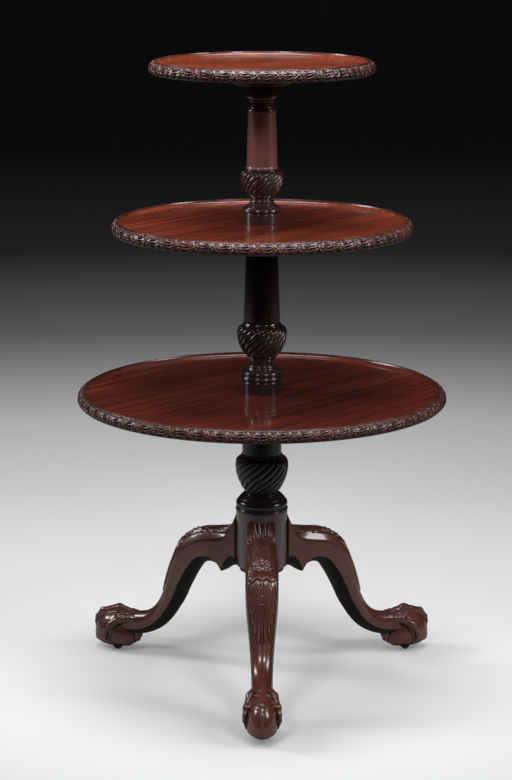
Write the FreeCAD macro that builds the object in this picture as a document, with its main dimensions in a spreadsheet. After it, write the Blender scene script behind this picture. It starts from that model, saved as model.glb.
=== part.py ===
"""Three-tier dumb-waiter: dished trays that turn on a sectional stem over a cabriole tripod.

Millimetres. The origin is on the stem's axis at floor level, +Z is up and the front leg points to -Y.
"""
import FreeCAD
import Part
import Sketcher
import math
import os

from FreeCAD import Placement, Rotation, Vector

doc = FreeCAD.newDocument("dumb_waiter")

# Driving sizes
SIZES = {
    # Trays: outer radius, and the section of the board and its rim
    "lower_tray_radius": 315,
    "middle_tray_radius": 255,
    "top_tray_radius": 189.5,
    "field_thickness": 13,
    "dish_depth": 6,
    "rim_nose_height": 9,
    "rim_fillet_height": 2.5,
    "rim_under_setback": 7,
    "rim_top_setback": 3.5,
    "rim_top_width": 4.5,
    "cove_width": 16,
    # Saucer-shaped boss under each tray
    "boss_thickness": 22,
    "boss_edge_height": 5,
    "lower_boss_radius": 74,
    "middle_boss_radius": 68,
    "top_boss_radius": 62,
    "lower_boss_foot_radius": 37,
    "middle_boss_foot_radius": 31,
    "top_boss_foot_radius": 33,
    # Spindles that the trays turn on, and the tenons that join the stem's sections
    "lower_spindle_radius": 20,
    "middle_spindle_radius": 17,
    "top_pin_radius": 14,
    "top_pin_length": 18,
    "lower_tenon_radius": 13,
    "middle_tenon_radius": 11,
    "tenon_length": 28,
    "running_clearance": 0.05,
    "tenon_clearance": 0.05,
    "tenon_end_gap": 0.5,
    "tray_end_play": 0.4,
    # Base pillar, from its underside up
    "pillar_bottom": 206,
    "hub_radius": 43.5,
    "hub_height": 96,
    "hub_bead_height": 9,
    "base_torus_height": 20,
    "base_torus_radius": 42.5,
    "base_torus_inner_radius": 31,
    "base_ring_radius": 28.5,
    "base_ring_height": 7,
    "base_vase_foot_radius": 28,
    "base_vase_radius": 45.6,
    "base_vase_shoulder_radius": 37,
    "base_vase_height": 62,
    "pillar_neck_radius": 33.7,
    "pillar_neck_length": 78.5,
    # Middle stem
    "middle_plinth_radius": 35.2,
    "middle_plinth_height": 15,
    "middle_torus_radius": 34.2,
    "middle_torus_height": 15,
    "middle_scotia_radius": 30,
    "middle_scotia_height": 10,
    "middle_neck_radius": 20.8,
    "middle_neck_height": 15,
    "middle_ring_radius": 23.2,
    "middle_ring_height": 8,
    "middle_vase_foot_radius": 24.5,
    "middle_vase_radius": 42,
    "middle_vase_shoulder_radius": 35,
    "middle_vase_height": 52,
    "middle_collar_radius": 33.5,
    "middle_collar_height": 11,
    "middle_shaft_foot_radius": 31.4,
    "middle_shaft_head_radius": 26.5,
    "middle_shaft_length": 130,
    # Top stem
    "top_plinth_radius": 30.1,
    "top_plinth_height": 14,
    "top_torus_radius": 30.4,
    "top_torus_height": 10.5,
    "top_scotia_radius": 27.5,
    "top_scotia_height": 9.5,
    "top_neck_radius": 20.2,
    "top_neck_height": 8,
    "top_ring_radius": 21.4,
    "top_ring_height": 6,
    "top_vase_foot_radius": 22,
    "top_vase_radius": 36.3,
    "top_vase_shoulder_radius": 30,
    "top_vase_height": 40,
    "top_collar_radius": 28.8,
    "top_collar_height": 6,
    "top_shaft_foot_radius": 27.6,
    "top_shaft_head_radius": 23.1,
    "top_shaft_length": 92,
    "astragal_radius": 24.4,
    "astragal_height": 7,
    "capital_neck_radius": 20.6,
    "capital_neck_height": 12,
    "capital_cove_height": 8,
    "capital_radius": 30,
    "capital_height": 18,
    # Spiral gadroons of the three vases, round a plain core
    "vase_core_inset": 7,
    "gadroon_depth": 3.4,
    "gadroon_count": 18,
    "gadroon_twist": 72,
    # Legs: a pattern whose saddle stands over the foot of its pillar and whose instep falls short of the ball's
    # middle, stretched to the real pillar and ball. Each station has a crown and a belly, as reach from the
    # axis and height, and a width
    "leg_saddle_rise": 69,
    "leg_instep_to_ball": 50,
    "leg_root_inset": 6,
    "leg_foot_sink": 10,
    "leg_root_crown_drop": 2,
    "leg_root_belly_rise": 26,
    "leg_saddle_crown_reach": 62,
    "leg_saddle_crown_height": 275,
    "leg_saddle_belly_reach": 62,
    "leg_saddle_belly_height": 227,
    "leg_arch_crown_reach": 95,
    "leg_arch_crown_height": 264.5,
    "leg_arch_belly_reach": 95,
    "leg_arch_belly_height": 200,
    "leg_knee_crown_reach": 135,
    "leg_knee_crown_height": 254,
    "leg_knee_belly_reach": 117,
    "leg_knee_belly_height": 192,
    "leg_turn_crown_reach": 168,
    "leg_turn_crown_height": 227,
    "leg_turn_belly_reach": 136,
    "leg_turn_belly_height": 167,
    "leg_shin_crown_reach": 186,
    "leg_shin_crown_height": 187,
    "leg_shin_belly_reach": 148,
    "leg_shin_belly_height": 143,
    "leg_calf_crown_reach": 199,
    "leg_calf_crown_height": 143,
    "leg_calf_belly_reach": 160,
    "leg_calf_belly_height": 117,
    "leg_ankle_crown_reach": 214,
    "leg_ankle_crown_height": 103,
    "leg_ankle_belly_reach": 181,
    "leg_ankle_belly_height": 84,
    "leg_instep_crown_reach": 248,
    "leg_instep_crown_height": 82,
    "leg_instep_belly_reach": 224,
    "leg_instep_belly_height": 47,
    "leg_root_width": 51,
    "leg_knee_width": 56,
    "leg_shin_width": 51,
    "leg_calf_width": 44,
    "leg_ankle_width": 38,
    "leg_instep_width": 36,
    "leg_root_round": 5,
    "leg_knee_round": 15,
    # Scroll-cut spur under the leg, beside the hub
    "spur_tip_reach": 74,
    "spur_tip_height": 187,
    "spur_root_reach": 37.5,
    "spur_root_height": 217,
    "spur_arch_reach": 97,
    "spur_arch_height": 212,
    "spur_width": 50,
    # Dovetail that joins a leg to the hub
    "dovetail_depth": 14,
    "dovetail_neck_width": 14,
    "dovetail_root_width": 20,
    "dovetail_height": 80,
    "dovetail_clearance": 0.1,
    "leg_seat_clearance": 0.1,
    # Claw-and-ball foot
    "foot_reach": 298,
    "ball_height": 37,
    "ball_length": 91,
    "ball_width": 57,
    "ball_depth": 72,
    "ball_floor_gap": 8,
    "talon_radius": 8.5,
    # Castor in the hollow of the ball
    "wheel_radius": 9,
    "wheel_width": 8,
    "wheel_edge_round": 1.5,
    "castor_trail": 3.5,
    "axle_radius": 1.6,
    "fork_side_gap": 0.5,
    "fork_arm_thickness": 2,
    "fork_arm_width": 6,
    "fork_crown_gap": 1.5,
    "fork_crown_thickness": 3,
    "plate_gap": 0.4,
    "plate_thickness": 2.5,
    "pivot_radius": 3,
    "pivot_length": 18,
    "pivot_hole_clearance": 0.5,
    "recess_clearance": 1,
    "plate_side_clearance": 0.1,
    # Turned cap under the hub, which shuts the dovetails in
    "hub_cap_radius": 38.6,
    "hub_cap_thickness": 9,
    # Wood screws, with their heads let in
    "screw_radius": 2,
    "screw_head_radius": 4,
    "screw_head_height": 2.4,
    "screw_clearance": 0.05,
    "boss_screw_grip": 10,
    "boss_screw_bite": 8,
    "boss_screw_circle": 48,
    "hub_screw_grip": 6,
    "hub_screw_bite": 14,
    "hub_screw_circle": 20,
    "plate_screw_radius": 1,
    "plate_screw_head_radius": 2,
    "plate_screw_head_height": 1.2,
    "plate_screw_grip": 1.3,
    "plate_screw_bite": 8,
    "plate_screw_circle": 10,
}

sheet = doc.addObject("Spreadsheet::Sheet", "sizes")
for row, (alias, length) in enumerate(SIZES.items(), start=1):
    sheet.set(f"A{row}", alias)
    sheet.set(f"B{row}", str(length))
    sheet.setAlias(f"B{row}", alias)
doc.recompute()

LEG_ANGLES = {"front": -90, "left": 150, "right": 30}
BETWEEN_LEGS = 90


class Size:
    """A length with the sheet expression that gives it, so a drawn point and its binding never differ."""

    def __init__(self, value, text):
        self.value = float(value)
        self.text = text

    @staticmethod
    def of(other):
        return other if isinstance(other, Size) else Size(other, repr(float(other)))

    def __add__(self, other):
        other = Size.of(other)
        return Size(self.value + other.value, f"({self.text} + {other.text})")

    def __sub__(self, other):
        other = Size.of(other)
        return Size(self.value - other.value, f"({self.text} - {other.text})")

    def __mul__(self, other):
        other = Size.of(other)
        return Size(self.value * other.value, f"({self.text} * {other.text})")

    def __truediv__(self, other):
        other = Size.of(other)
        return Size(self.value / other.value, f"({self.text} / {other.text})")

    def hypot(self, other):
        return Size(math.hypot(self.value, other.value), f"sqrt({self.text} ^ 2 + {other.text} ^ 2)")


def size(alias):
    return Size(sheet.get(alias), f"sizes.{alias}")


def number(alias):
    return float(sheet.get(alias))


def origin_plane(body, role):
    return next(feature for feature in body.Origin.OriginFeatures if feature.Role == role)


def attached_sketch(body, name, role):
    sketch = body.newObject("Sketcher::SketchObject", name)
    sketch.AttachmentSupport = [(origin_plane(body, role), "")]
    sketch.MapMode = "FlatFace"
    return sketch


def bind(sketch, constraint, length):
    index = sketch.addConstraint(constraint)
    sketch.setExpression(f"Constraints[{index}]", length.text)


def bulged_middle(start, end, bulge):
    """Middle point of the arc from start to end whose rise is bulge times half its chord."""
    chord = end - start
    return (start + end) * 0.5 + Vector(chord.y, -chord.x, 0) * (bulge / 2)


def draw_profile(sketch, points):
    """Closed outline through points (x, y, bulge): a bulge swells the stretch that leads to its point."""
    count = len(points)
    corners = [Vector(x.value, y.value, 0) for x, y, bulge in points]
    entries = {}
    exits = {}
    for index, (x, y, bulge) in enumerate(points):
        before = (index - 1) % count
        start, end = corners[before], corners[index]
        if bulge:
            middle = bulged_middle(start, end, bulge)
            edge = sketch.addGeometry(Part.Arc(start, middle, end), False)
            chord = (x - points[before][0]).hypot(y - points[before][1])
            radius = chord * ((1 + bulge * bulge) / (4 * abs(bulge)))
            ends = ((edge, 1), (edge, 2))
            exits[before], entries[index] = ends if bulge > 0 else ends[::-1]
            bind(sketch, Sketcher.Constraint("Radius", edge, radius.value), radius)
        else:
            edge = sketch.addGeometry(Part.LineSegment(start, end), False)
            exits[before], entries[index] = (edge, 1), (edge, 2)
    for index, (x, y, bulge) in enumerate(points):
        sketch.addConstraint(Sketcher.Constraint("Coincident", *entries[index], *exits[index]))
        if x.value:
            bind(sketch, Sketcher.Constraint("DistanceX", -1, 1, *exits[index], x.value), x)
        else:
            sketch.addConstraint(Sketcher.Constraint("PointOnObject", *exits[index], -2))
        if y.value:
            bind(sketch, Sketcher.Constraint("DistanceY", -1, 1, *exits[index], y.value), y)
        else:
            sketch.addConstraint(Sketcher.Constraint("PointOnObject", *exits[index], -1))


def turned_body(name, points):
    """Body turned about the vertical axis from points (radius, height, bulge)."""
    body = doc.addObject("PartDesign::Body", name)
    sketch = attached_sketch(body, f"{name}_profile", "XZ_Plane")
    draw_profile(sketch, points)
    turning = body.newObject("PartDesign::Revolution", f"{name}_turning")
    turning.Profile = sketch
    turning.ReferenceAxis = (sketch, ["V_Axis"])
    turning.Angle = 360
    doc.recompute()
    return body


AXIS = Size(0, "0")
STRAIGHT = 0
HOLLOW = -0.45


def stacked(start, *aliases):
    """Height reached above start by the named lengths, one on the other."""
    for alias in aliases:
        start = start + size(alias)
    return start


# Heights of the stack: each tray lies on a boss, and the boss on the shoulder of the stem below it
PILLAR_PARTS = ("hub_height", "hub_bead_height", "base_torus_height", "base_ring_height", "base_vase_height")
MIDDLE_PARTS = ("middle_plinth_height", "middle_torus_height", "middle_scotia_height", "middle_neck_height",
                "middle_ring_height", "middle_vase_height", "middle_collar_height")
TOP_PARTS = ("top_plinth_height", "top_torus_height", "top_scotia_height", "top_neck_height",
             "top_ring_height", "top_vase_height", "top_collar_height")
CAPITAL_PARTS = ("top_shaft_length", "astragal_height", "capital_neck_height", "capital_cove_height",
                 "capital_height")
pillar_foot = size("pillar_bottom")
pillar_shoulder = stacked(AXIS, *PILLAR_PARTS, "pillar_neck_length")
middle_shoulder = stacked(AXIS, *MIDDLE_PARTS, "middle_shaft_length")
top_shoulder = stacked(AXIS, *TOP_PARTS, *CAPITAL_PARTS)
TRAY_STACK = ("boss_thickness", "field_thickness", "tray_end_play")
middle_foot = stacked(pillar_foot + pillar_shoulder, *TRAY_STACK)
top_foot = stacked(middle_foot + middle_shoulder, *TRAY_STACK)
boss_feet = {
    "lower": pillar_foot + pillar_shoulder,
    "middle": middle_foot + middle_shoulder,
    "top": top_foot + top_shoulder,
}

nodes = {}


def keep(label, feature):
    feature.Label = label
    nodes[label] = feature
    return feature


def solid_feature(name, shape, placement=None):
    feature = doc.addObject("Part::Feature", name)
    feature.Shape = shape
    feature.Placement = placement or Placement()
    return feature


def cut_away(name, base, tool):
    cut = doc.addObject("Part::Cut", name)
    cut.Base = base
    cut.Tool = tool
    return cut


def raised(feature, height):
    feature.setExpression("Placement.Base.z", height.text)


# Wood screws
def screw(prefix, grip, bite, swell=0.0, head_drop=0.0):
    """Upright screw whose shoulder line is at z = 0: grip below it, bite above it, head at the bottom."""
    shank_radius = number(f"{prefix}_radius") + swell
    head_radius = number(f"{prefix}_head_radius") + swell
    head_height = number(f"{prefix}_head_height") + head_drop
    shank = Part.makeCylinder(shank_radius, grip + bite, Vector(0, 0, -grip))
    head = Part.makeCylinder(head_radius, head_height, Vector(0, 0, -grip - head_height))
    return shank.fuse(head)


def ring_of(shape, count, circle, start_angle=0.0, centre=Vector()):
    """Copies of a shape moved out to a circle round an upright line through the centre."""
    moved = []
    for index in range(count):
        copy = shape.copy()
        copy.translate(Vector(circle, 0, 0))
        copy.rotate(Vector(), Vector(0, 0, 1), start_angle + 360 * index / count)
        copy.translate(centre)
        moved.append(copy)
    return Part.makeCompound(moved)


SCREWS_PER_RING = 3


def boss_screws(swell=0.0, head_drop=0.0):
    one = screw("screw", number("boss_screw_grip"), number("boss_screw_bite"), swell, head_drop)
    return ring_of(one, SCREWS_PER_RING, number("boss_screw_circle"), BETWEEN_LEGS)


# Trays and the bosses under them
QUARTER_ROUND = 0.38
COVE = -0.3
SAUCER = 0.35


def tray(tier, bore):
    """Dished tray; its own z = 0 is the underside."""
    radius = size(f"{tier}_tray_radius")
    nose = size("rim_nose_height")
    rim_top = size("field_thickness") + size("dish_depth")
    fillet_foot = rim_top - size("rim_fillet_height")
    lip = radius - size("rim_top_setback")
    lip_inside = lip - size("rim_top_width")
    field_edge = lip_inside - size("cove_width")
    return turned_body(f"{tier}_tray_turning", [
        (bore, AXIS, STRAIGHT),
        (radius - size("rim_under_setback"), AXIS, STRAIGHT),
        (radius, nose, QUARTER_ROUND),
        (lip, fillet_foot, QUARTER_ROUND),
        (lip, rim_top, STRAIGHT),
        (lip_inside, rim_top, STRAIGHT),
        (field_edge, size("field_thickness"), COVE),
        (bore, size("field_thickness"), STRAIGHT),
    ])


def boss(tier, bore, socket_depth=None):
    """Saucer-shaped boss; its own z = 0 is the face that turns on the stem's shoulder."""
    thickness = size("boss_thickness")
    radius = size(f"{tier}_boss_radius")
    outline = [
        (bore, AXIS, STRAIGHT),
        (size(f"{tier}_boss_foot_radius"), AXIS, STRAIGHT),
        (radius, thickness - size("boss_edge_height"), SAUCER),
        (radius, thickness, STRAIGHT),
    ]
    if socket_depth:
        outline += [
            (AXIS, thickness, STRAIGHT),
            (AXIS, socket_depth, STRAIGHT),
            (bore, socket_depth, STRAIGHT),
        ]
    else:
        outline += [(bore, thickness, STRAIGHT)]
    return turned_body(f"{tier}_boss_turning", outline)


def tier_nodes(tier, tray_bore, boss_bore, socket_depth=None):
    boss_foot = boss_feet[tier]
    tray_under = boss_foot + size("boss_thickness")
    swell = number("screw_clearance")
    open_below = number("boss_thickness")
    spaces = boss_screws(swell, open_below)
    tray_space = solid_feature(f"{tier}_tray_screw_space", spaces)
    tray_cut = cut_away(f"{tier}_tray_cut", tray(tier, tray_bore), tray_space)
    raised(keep(f"{tier}_tray", tray_cut), tray_under)
    lowered = Placement(Vector(0, 0, number("boss_thickness")), Rotation())
    boss_space = solid_feature(f"{tier}_boss_screw_space", spaces, lowered)
    boss_cut = cut_away(f"{tier}_boss_cut", boss(tier, boss_bore, socket_depth), boss_space)
    raised(keep(f"{tier}_boss", boss_cut), boss_foot)
    screws = solid_feature(f"{tier}_boss_screws", boss_screws())
    raised(keep(f"{tier}_boss_screws", screws), tray_under)


lower_bore = size("lower_spindle_radius") + size("running_clearance")
middle_bore = size("middle_spindle_radius") + size("running_clearance")
top_bore = size("top_pin_radius") + size("running_clearance")
tier_nodes("lower", lower_bore, lower_bore)
tier_nodes("middle", middle_bore, middle_bore)
tier_nodes("top", AXIS, top_bore, size("top_pin_length") + size("tenon_end_gap"))


# Spiral-gadrooned vases
VASE_STEPS = 14
VASE_BELLY_AT = 0.68
GADROON_END_DEPTH = 0.12
GADROON_FADE = 0.5


def vase_radius(prefix, share):
    """Radius of the vase at a share of its height: a swelling below the belly, a rounded shoulder above."""
    foot = number(f"{prefix}_vase_foot_radius")
    belly = number(f"{prefix}_vase_radius")
    shoulder = number(f"{prefix}_vase_shoulder_radius")
    if share < VASE_BELLY_AT:
        return foot + (belly - foot) * math.sin(math.pi / 2 * share / VASE_BELLY_AT)
    above = (share - VASE_BELLY_AT) / (1 - VASE_BELLY_AT)
    return shoulder + (belly - shoulder) * math.sqrt(1 - above * above)


def gadrooned_section(radius, depth, turn, height):
    """Ring of outward arcs, one for each gadroon, that meet in grooves."""
    count = int(number("gadroon_count"))
    pitch = 2 * math.pi / count

    def at(distance, angle):
        return Vector(distance * math.cos(angle), distance * math.sin(angle), height)

    arcs = []
    for index in range(count):
        first = turn + index * pitch
        groove, next_groove = at(radius - depth, first), at(radius - depth, first + pitch)
        arcs.append(Part.Arc(groove, at(radius, first + pitch / 2), next_groove).toShape())
    return Part.Wire(arcs)


def gadrooned_vase(prefix):
    height = number(f"{prefix}_vase_height")
    twist = math.radians(number("gadroon_twist"))
    sections = []
    for step in range(VASE_STEPS + 1):
        share = step / VASE_STEPS
        fade = GADROON_END_DEPTH + (1 - GADROON_END_DEPTH) * math.sin(math.pi * share) ** GADROON_FADE
        depth = number("gadroon_depth") * fade
        sections.append(gadrooned_section(vase_radius(prefix, share), depth, twist * share, height * share))
    return Part.makeLoft(sections, True, False)


# Turned stem sections
BEAD = 0.33
TORUS = 0.64
RING = 0.4


def stem_section(label, prefix, outline, vase_foot, height):
    """Turned section and its vase, fused and set at its height."""
    turning = turned_body(f"{label}_turning", outline)
    vase_placement = Placement(Vector(0, 0, vase_foot.value), Rotation())
    vase = solid_feature(f"{label}_vase", gadrooned_vase(prefix), vase_placement)
    whole = doc.addObject("Part::Fuse", f"{label}_whole")
    whole.Base = turning
    whole.Tool = vase
    raised(whole, height)
    return whole


def moulded_foot(prefix, socket_radius):
    """Socket, plinth, torus, scotia, neck and ring of a stem section, up to its vase."""
    socket_depth = size("tenon_length") + size("tenon_end_gap")
    plinth_radius = size(f"{prefix}_plinth_radius")
    plinth_top = size(f"{prefix}_plinth_height")
    torus_radius = size(f"{prefix}_torus_radius")
    torus_top = stacked(plinth_top, f"{prefix}_torus_height")
    scotia_top = stacked(torus_top, f"{prefix}_scotia_height")
    neck_radius = size(f"{prefix}_neck_radius")
    neck_top = stacked(scotia_top, f"{prefix}_neck_height")
    ring_radius = size(f"{prefix}_ring_radius")
    ring_top = stacked(neck_top, f"{prefix}_ring_height")
    vase_top = stacked(ring_top, f"{prefix}_vase_height")
    core_radius = size(f"{prefix}_vase_foot_radius") - size("vase_core_inset")
    return ring_top, [
        (AXIS, socket_depth, STRAIGHT),
        (socket_radius, socket_depth, STRAIGHT),
        (socket_radius, AXIS, STRAIGHT),
        (plinth_radius, AXIS, STRAIGHT),
        (plinth_radius, plinth_top, STRAIGHT),
        (torus_radius, plinth_top, STRAIGHT),
        (torus_radius, torus_top, RING),
        (size(f"{prefix}_scotia_radius"), torus_top, STRAIGHT),
        (neck_radius, scotia_top, HOLLOW),
        (neck_radius, neck_top, STRAIGHT),
        (ring_radius, neck_top, STRAIGHT),
        (ring_radius, ring_top, RING),
        (core_radius, ring_top, STRAIGHT),
        (core_radius, vase_top, STRAIGHT),
        (size(f"{prefix}_collar_radius"), vase_top, STRAIGHT),
        (size(f"{prefix}_shaft_foot_radius"), stacked(vase_top, f"{prefix}_collar_height"), HOLLOW),
    ]


def spindle(shoulder, spindle_radius, tenon_radius):
    """Spindle that a tray turns on, with the tenon that enters the next section."""
    tenon_foot = stacked(shoulder, *TRAY_STACK)
    tenon_top = stacked(tenon_foot, "tenon_length")
    return [
        (spindle_radius, shoulder, STRAIGHT),
        (spindle_radius, tenon_foot, STRAIGHT),
        (tenon_radius, tenon_foot, STRAIGHT),
        (tenon_radius, tenon_top, STRAIGHT),
        (AXIS, tenon_top, STRAIGHT),
    ]


def pillar_outline():
    hub_radius = size("hub_radius")
    hub_top = size("hub_height")
    bead_top = stacked(hub_top, "hub_bead_height")
    torus_top = stacked(bead_top, "base_torus_height")
    ring_top = stacked(torus_top, "base_ring_height")
    vase_top = stacked(ring_top, "base_vase_height")
    core_radius = size("base_vase_foot_radius") - size("vase_core_inset")
    neck_radius = size("pillar_neck_radius")
    ring_radius = size("base_ring_radius")
    outline = [
        (AXIS, AXIS, STRAIGHT),
        (hub_radius, AXIS, STRAIGHT),
        (hub_radius, hub_top, STRAIGHT),
        (hub_radius, bead_top, BEAD),
        (size("base_torus_radius"), bead_top, STRAIGHT),
        (size("base_torus_inner_radius"), torus_top, TORUS),
        (ring_radius, torus_top, STRAIGHT),
        (ring_radius, ring_top, RING),
        (core_radius, ring_top, STRAIGHT),
        (core_radius, vase_top, STRAIGHT),
        (neck_radius, vase_top, STRAIGHT),
        (neck_radius, pillar_shoulder, STRAIGHT),
    ]
    outline += spindle(pillar_shoulder, size("lower_spindle_radius"), size("lower_tenon_radius"))
    return ring_top, outline


def middle_outline():
    vase_foot, outline = moulded_foot("middle", size("lower_tenon_radius") + size("tenon_clearance"))
    outline.append((size("middle_shaft_head_radius"), middle_shoulder, STRAIGHT))
    outline += spindle(middle_shoulder, size("middle_spindle_radius"), size("middle_tenon_radius"))
    return vase_foot, outline


def top_outline():
    vase_foot, outline = moulded_foot("top", size("middle_tenon_radius") + size("tenon_clearance"))
    shaft_top = stacked(AXIS, *TOP_PARTS, "top_shaft_length")
    astragal_top = stacked(shaft_top, "astragal_height")
    neck_top = stacked(astragal_top, "capital_neck_height")
    cove_top = stacked(neck_top, "capital_cove_height")
    astragal_radius = size("astragal_radius")
    neck_radius = size("capital_neck_radius")
    capital_radius = size("capital_radius")
    pin_radius = size("top_pin_radius")
    pin_top = stacked(top_shoulder, "top_pin_length")
    outline += [
        (size("top_shaft_head_radius"), shaft_top, STRAIGHT),
        (astragal_radius, shaft_top, STRAIGHT),
        (astragal_radius, astragal_top, RING),
        (neck_radius, astragal_top, STRAIGHT),
        (neck_radius, neck_top, STRAIGHT),
        (capital_radius, cove_top, HOLLOW),
        (capital_radius, top_shoulder, STRAIGHT),
        (pin_radius, top_shoulder, STRAIGHT),
        (pin_radius, pin_top, STRAIGHT),
        (AXIS, pin_top, STRAIGHT),
    ]
    return vase_foot, outline


PAST_HUB = 1.1


def dovetail(clearance, height):
    """Upright dovetail prism along +X whose mouth is at the hub's surface."""
    hub_radius = number("hub_radius")
    root_reach = hub_radius - number("dovetail_depth") - clearance
    neck = number("dovetail_neck_width") / 2 + clearance
    root = number("dovetail_root_width") / 2 + clearance
    mouth_reach = hub_radius * PAST_HUB
    flare = (root - neck) / (hub_radius - root_reach)
    mouth = root - flare * (mouth_reach - root_reach)
    corners = [Vector(root_reach, -root, 0), Vector(mouth_reach, -mouth, 0),
               Vector(mouth_reach, mouth, 0), Vector(root_reach, root, 0)]
    face = Part.Face(Part.makePolygon(corners + corners[:1]))
    return face.extrude(Vector(0, 0, height))


def hub_screws(swell=0.0, head_drop=0.0):
    one = screw("screw", number("hub_screw_grip"), number("hub_screw_bite"), swell, head_drop)
    return ring_of(one, SCREWS_PER_RING, number("hub_screw_circle"), BETWEEN_LEGS)


def base_pillar():
    vase_foot, outline = pillar_outline()
    whole = stem_section("base_pillar", "base", outline, vase_foot, AXIS)
    clearance = number("dovetail_clearance")
    slot = dovetail(clearance, number("dovetail_height") + clearance)
    slots = ring_of(slot, len(LEG_ANGLES), 0, LEG_ANGLES["front"])
    spaces = Part.makeCompound(slots.Solids + hub_screws(number("screw_clearance")).Solids)
    pillar = cut_away("base_pillar_cut", whole, solid_feature("hub_spaces", spaces))
    raised(keep("base_pillar", pillar), pillar_foot)


base_pillar()
keep("middle_stem", stem_section("middle_stem", "middle", *reversed(middle_outline()), middle_foot))
keep("top_stem", stem_section("top_stem", "top", *reversed(top_outline()), top_foot))


# Turned cap under the hub
def hub_cap():
    cap = doc.addObject("Part::Cylinder", "hub_cap_disc")
    cap.setExpression("Radius", size("hub_cap_radius").text)
    cap.setExpression("Height", size("hub_cap_thickness").text)
    thickness = Placement(Vector(0, 0, number("hub_cap_thickness")), Rotation())
    spaces = hub_screws(number("screw_clearance"), number("hub_cap_thickness"))
    cut = cut_away("hub_cap_cut", cap, solid_feature("hub_cap_spaces", spaces, thickness))
    raised(keep("hub_cap", cut), pillar_foot - size("hub_cap_thickness"))
    raised(keep("hub_cap_screws", solid_feature("hub_cap_screws", hub_screws())), pillar_foot)


hub_cap()


# Cabriole legs, each drawn along +X and then turned about the stem
SPUR_HOLLOW = 0.35
SPUR_ARCH = 0.2
NECK_SHARE = 0.5
LEG_STEPS = 3
LEG_STATIONS = ("saddle", "arch", "knee", "turn", "shin", "calf", "ankle", "instep")
STATION_WIDTHS = {"saddle": "root", "arch": "knee", "turn": "knee"}
FLAT_STATIONS = 2
TALON_SIDES = (1, -1)
FRONT_TALON = ((-0.62, 0, 0.80, 1.15), (-0.20, 0, 1.08, 1.1), (0.28, 0, 1.00, 0.85), (0.66, 0, 0.82, 1.05),
               (0.95, 0, 0.40, 0.8), (1.04, 0, 0.00, 0.7), (1.00, 0, -0.40, 0.35))
SIDE_TALON = ((-0.85, 0.42, 0.72, 1.0), (-0.50, 0.68, 0.88, 1.05), (-0.20, 0.80, 0.72, 0.85),
              (0.06, 0.88, 0.50, 1.0), (0.22, 0.90, 0.15, 0.8), (0.22, 0.86, -0.22, 0.65),
              (0.16, 0.76, -0.55, 0.3))
REAR_TALON = ((-0.96, 0, 0.28, 1.1), (-1.04, 0, -0.05, 0.95), (-0.98, 0, -0.38, 0.7), (-0.80, 0, -0.60, 0.3))


def station(crown, belly, width, crown_rise, belly_rise):
    """Leg section between its crown and belly points: flat cheeks, a rounded crown and a rounded belly."""
    depth = (crown - belly).Length
    along = (crown - belly).normalize()
    cheek = Vector(0, width / 2, 0)
    upper = belly + along * (depth - crown_rise)
    lower = belly + along * belly_rise
    return Part.Wire([
        Part.Arc(upper - cheek, crown, upper + cheek).toShape(),
        Part.makeLine(upper + cheek, lower + cheek),
        Part.Arc(lower + cheek, belly, lower - cheek).toShape(),
        Part.makeLine(lower - cheek, upper - cheek),
    ])


def root_reach():
    return number("hub_radius") - number("leg_root_inset")


def root_crown_height():
    return number("pillar_bottom") + number("hub_height") - number("leg_root_crown_drop")


def root_belly_height():
    return number("pillar_bottom") + number("leg_root_belly_rise")


def pattern_point(name):
    """Point of the leg's pattern, stretched to the height of the pillar's foot and the reach of the ball."""
    pattern_reach = number("leg_instep_crown_reach") + number("leg_instep_to_ball")
    pattern_bottom = number("leg_saddle_crown_height") - number("leg_saddle_rise")
    reach = number(f"{name}_reach") * number("foot_reach") / pattern_reach
    height = number(f"{name}_height") * number("pillar_bottom") / pattern_bottom
    return Vector(reach, 0, height)


def eased(values):
    """Values drawn between those given, level at each turning point so that none is overshot."""
    rises = [after - before for before, after in zip(values, values[1:])]
    slopes = rises[:1]
    for before, after in zip(rises, rises[1:]):
        slopes.append(2 * before * after / (before + after) if before * after > 0 else 0)
    slopes += rises[-1:]
    drawn = []
    for index, rise in enumerate(rises):
        for step in range(LEG_STEPS):
            share = step / LEG_STEPS
            left = 1 - share
            blend = share * share * (3 - 2 * share)
            bend = share * left * (slopes[index] * left - slopes[index + 1] * share)
            drawn.append(values[index] + rise * blend + bend)
    return drawn + values[-1:]


def leg_shaft():
    """Sweeping leg from inside the hub to inside the ball."""
    crowns = [Vector(root_reach(), 0, root_crown_height())]
    bellies = [Vector(root_reach(), 0, root_belly_height())]
    widths = [number("leg_root_width")]
    for name in LEG_STATIONS:
        crowns.append(pattern_point(f"leg_{name}_crown"))
        bellies.append(pattern_point(f"leg_{name}_belly"))
        widths.append(number(f"leg_{STATION_WIDTHS.get(name, name)}_width"))
    sink = Vector(-number("leg_foot_sink"), 0, 0)
    crowns.append(ball_centre() + sink + Vector(0, 0, ball_half_sizes().z))
    bellies.append(ball_centre() + sink * 2)
    widths.append(number("leg_instep_width"))
    flat_rise = number("leg_root_round")
    full_rise = number("leg_knee_round")
    crown_rises = [flat_rise] * FLAT_STATIONS + [full_rise] * (len(crowns) - FLAT_STATIONS)
    belly_rises = crown_rises[:-1] + [flat_rise]
    columns = [
        [crown.x for crown in crowns],
        [crown.z for crown in crowns],
        [belly.x for belly in bellies],
        [belly.z for belly in bellies],
        widths,
        crown_rises,
        belly_rises,
    ]
    sections = []
    for crown_x, crown_z, belly_x, belly_z, width, crown_rise, belly_rise in zip(*map(eased, columns)):
        crown, belly = Vector(crown_x, 0, crown_z), Vector(belly_x, 0, belly_z)
        sections.append(station(crown, belly, width, crown_rise, belly_rise))
    return Part.makeLoft(sections, True, False)


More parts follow.
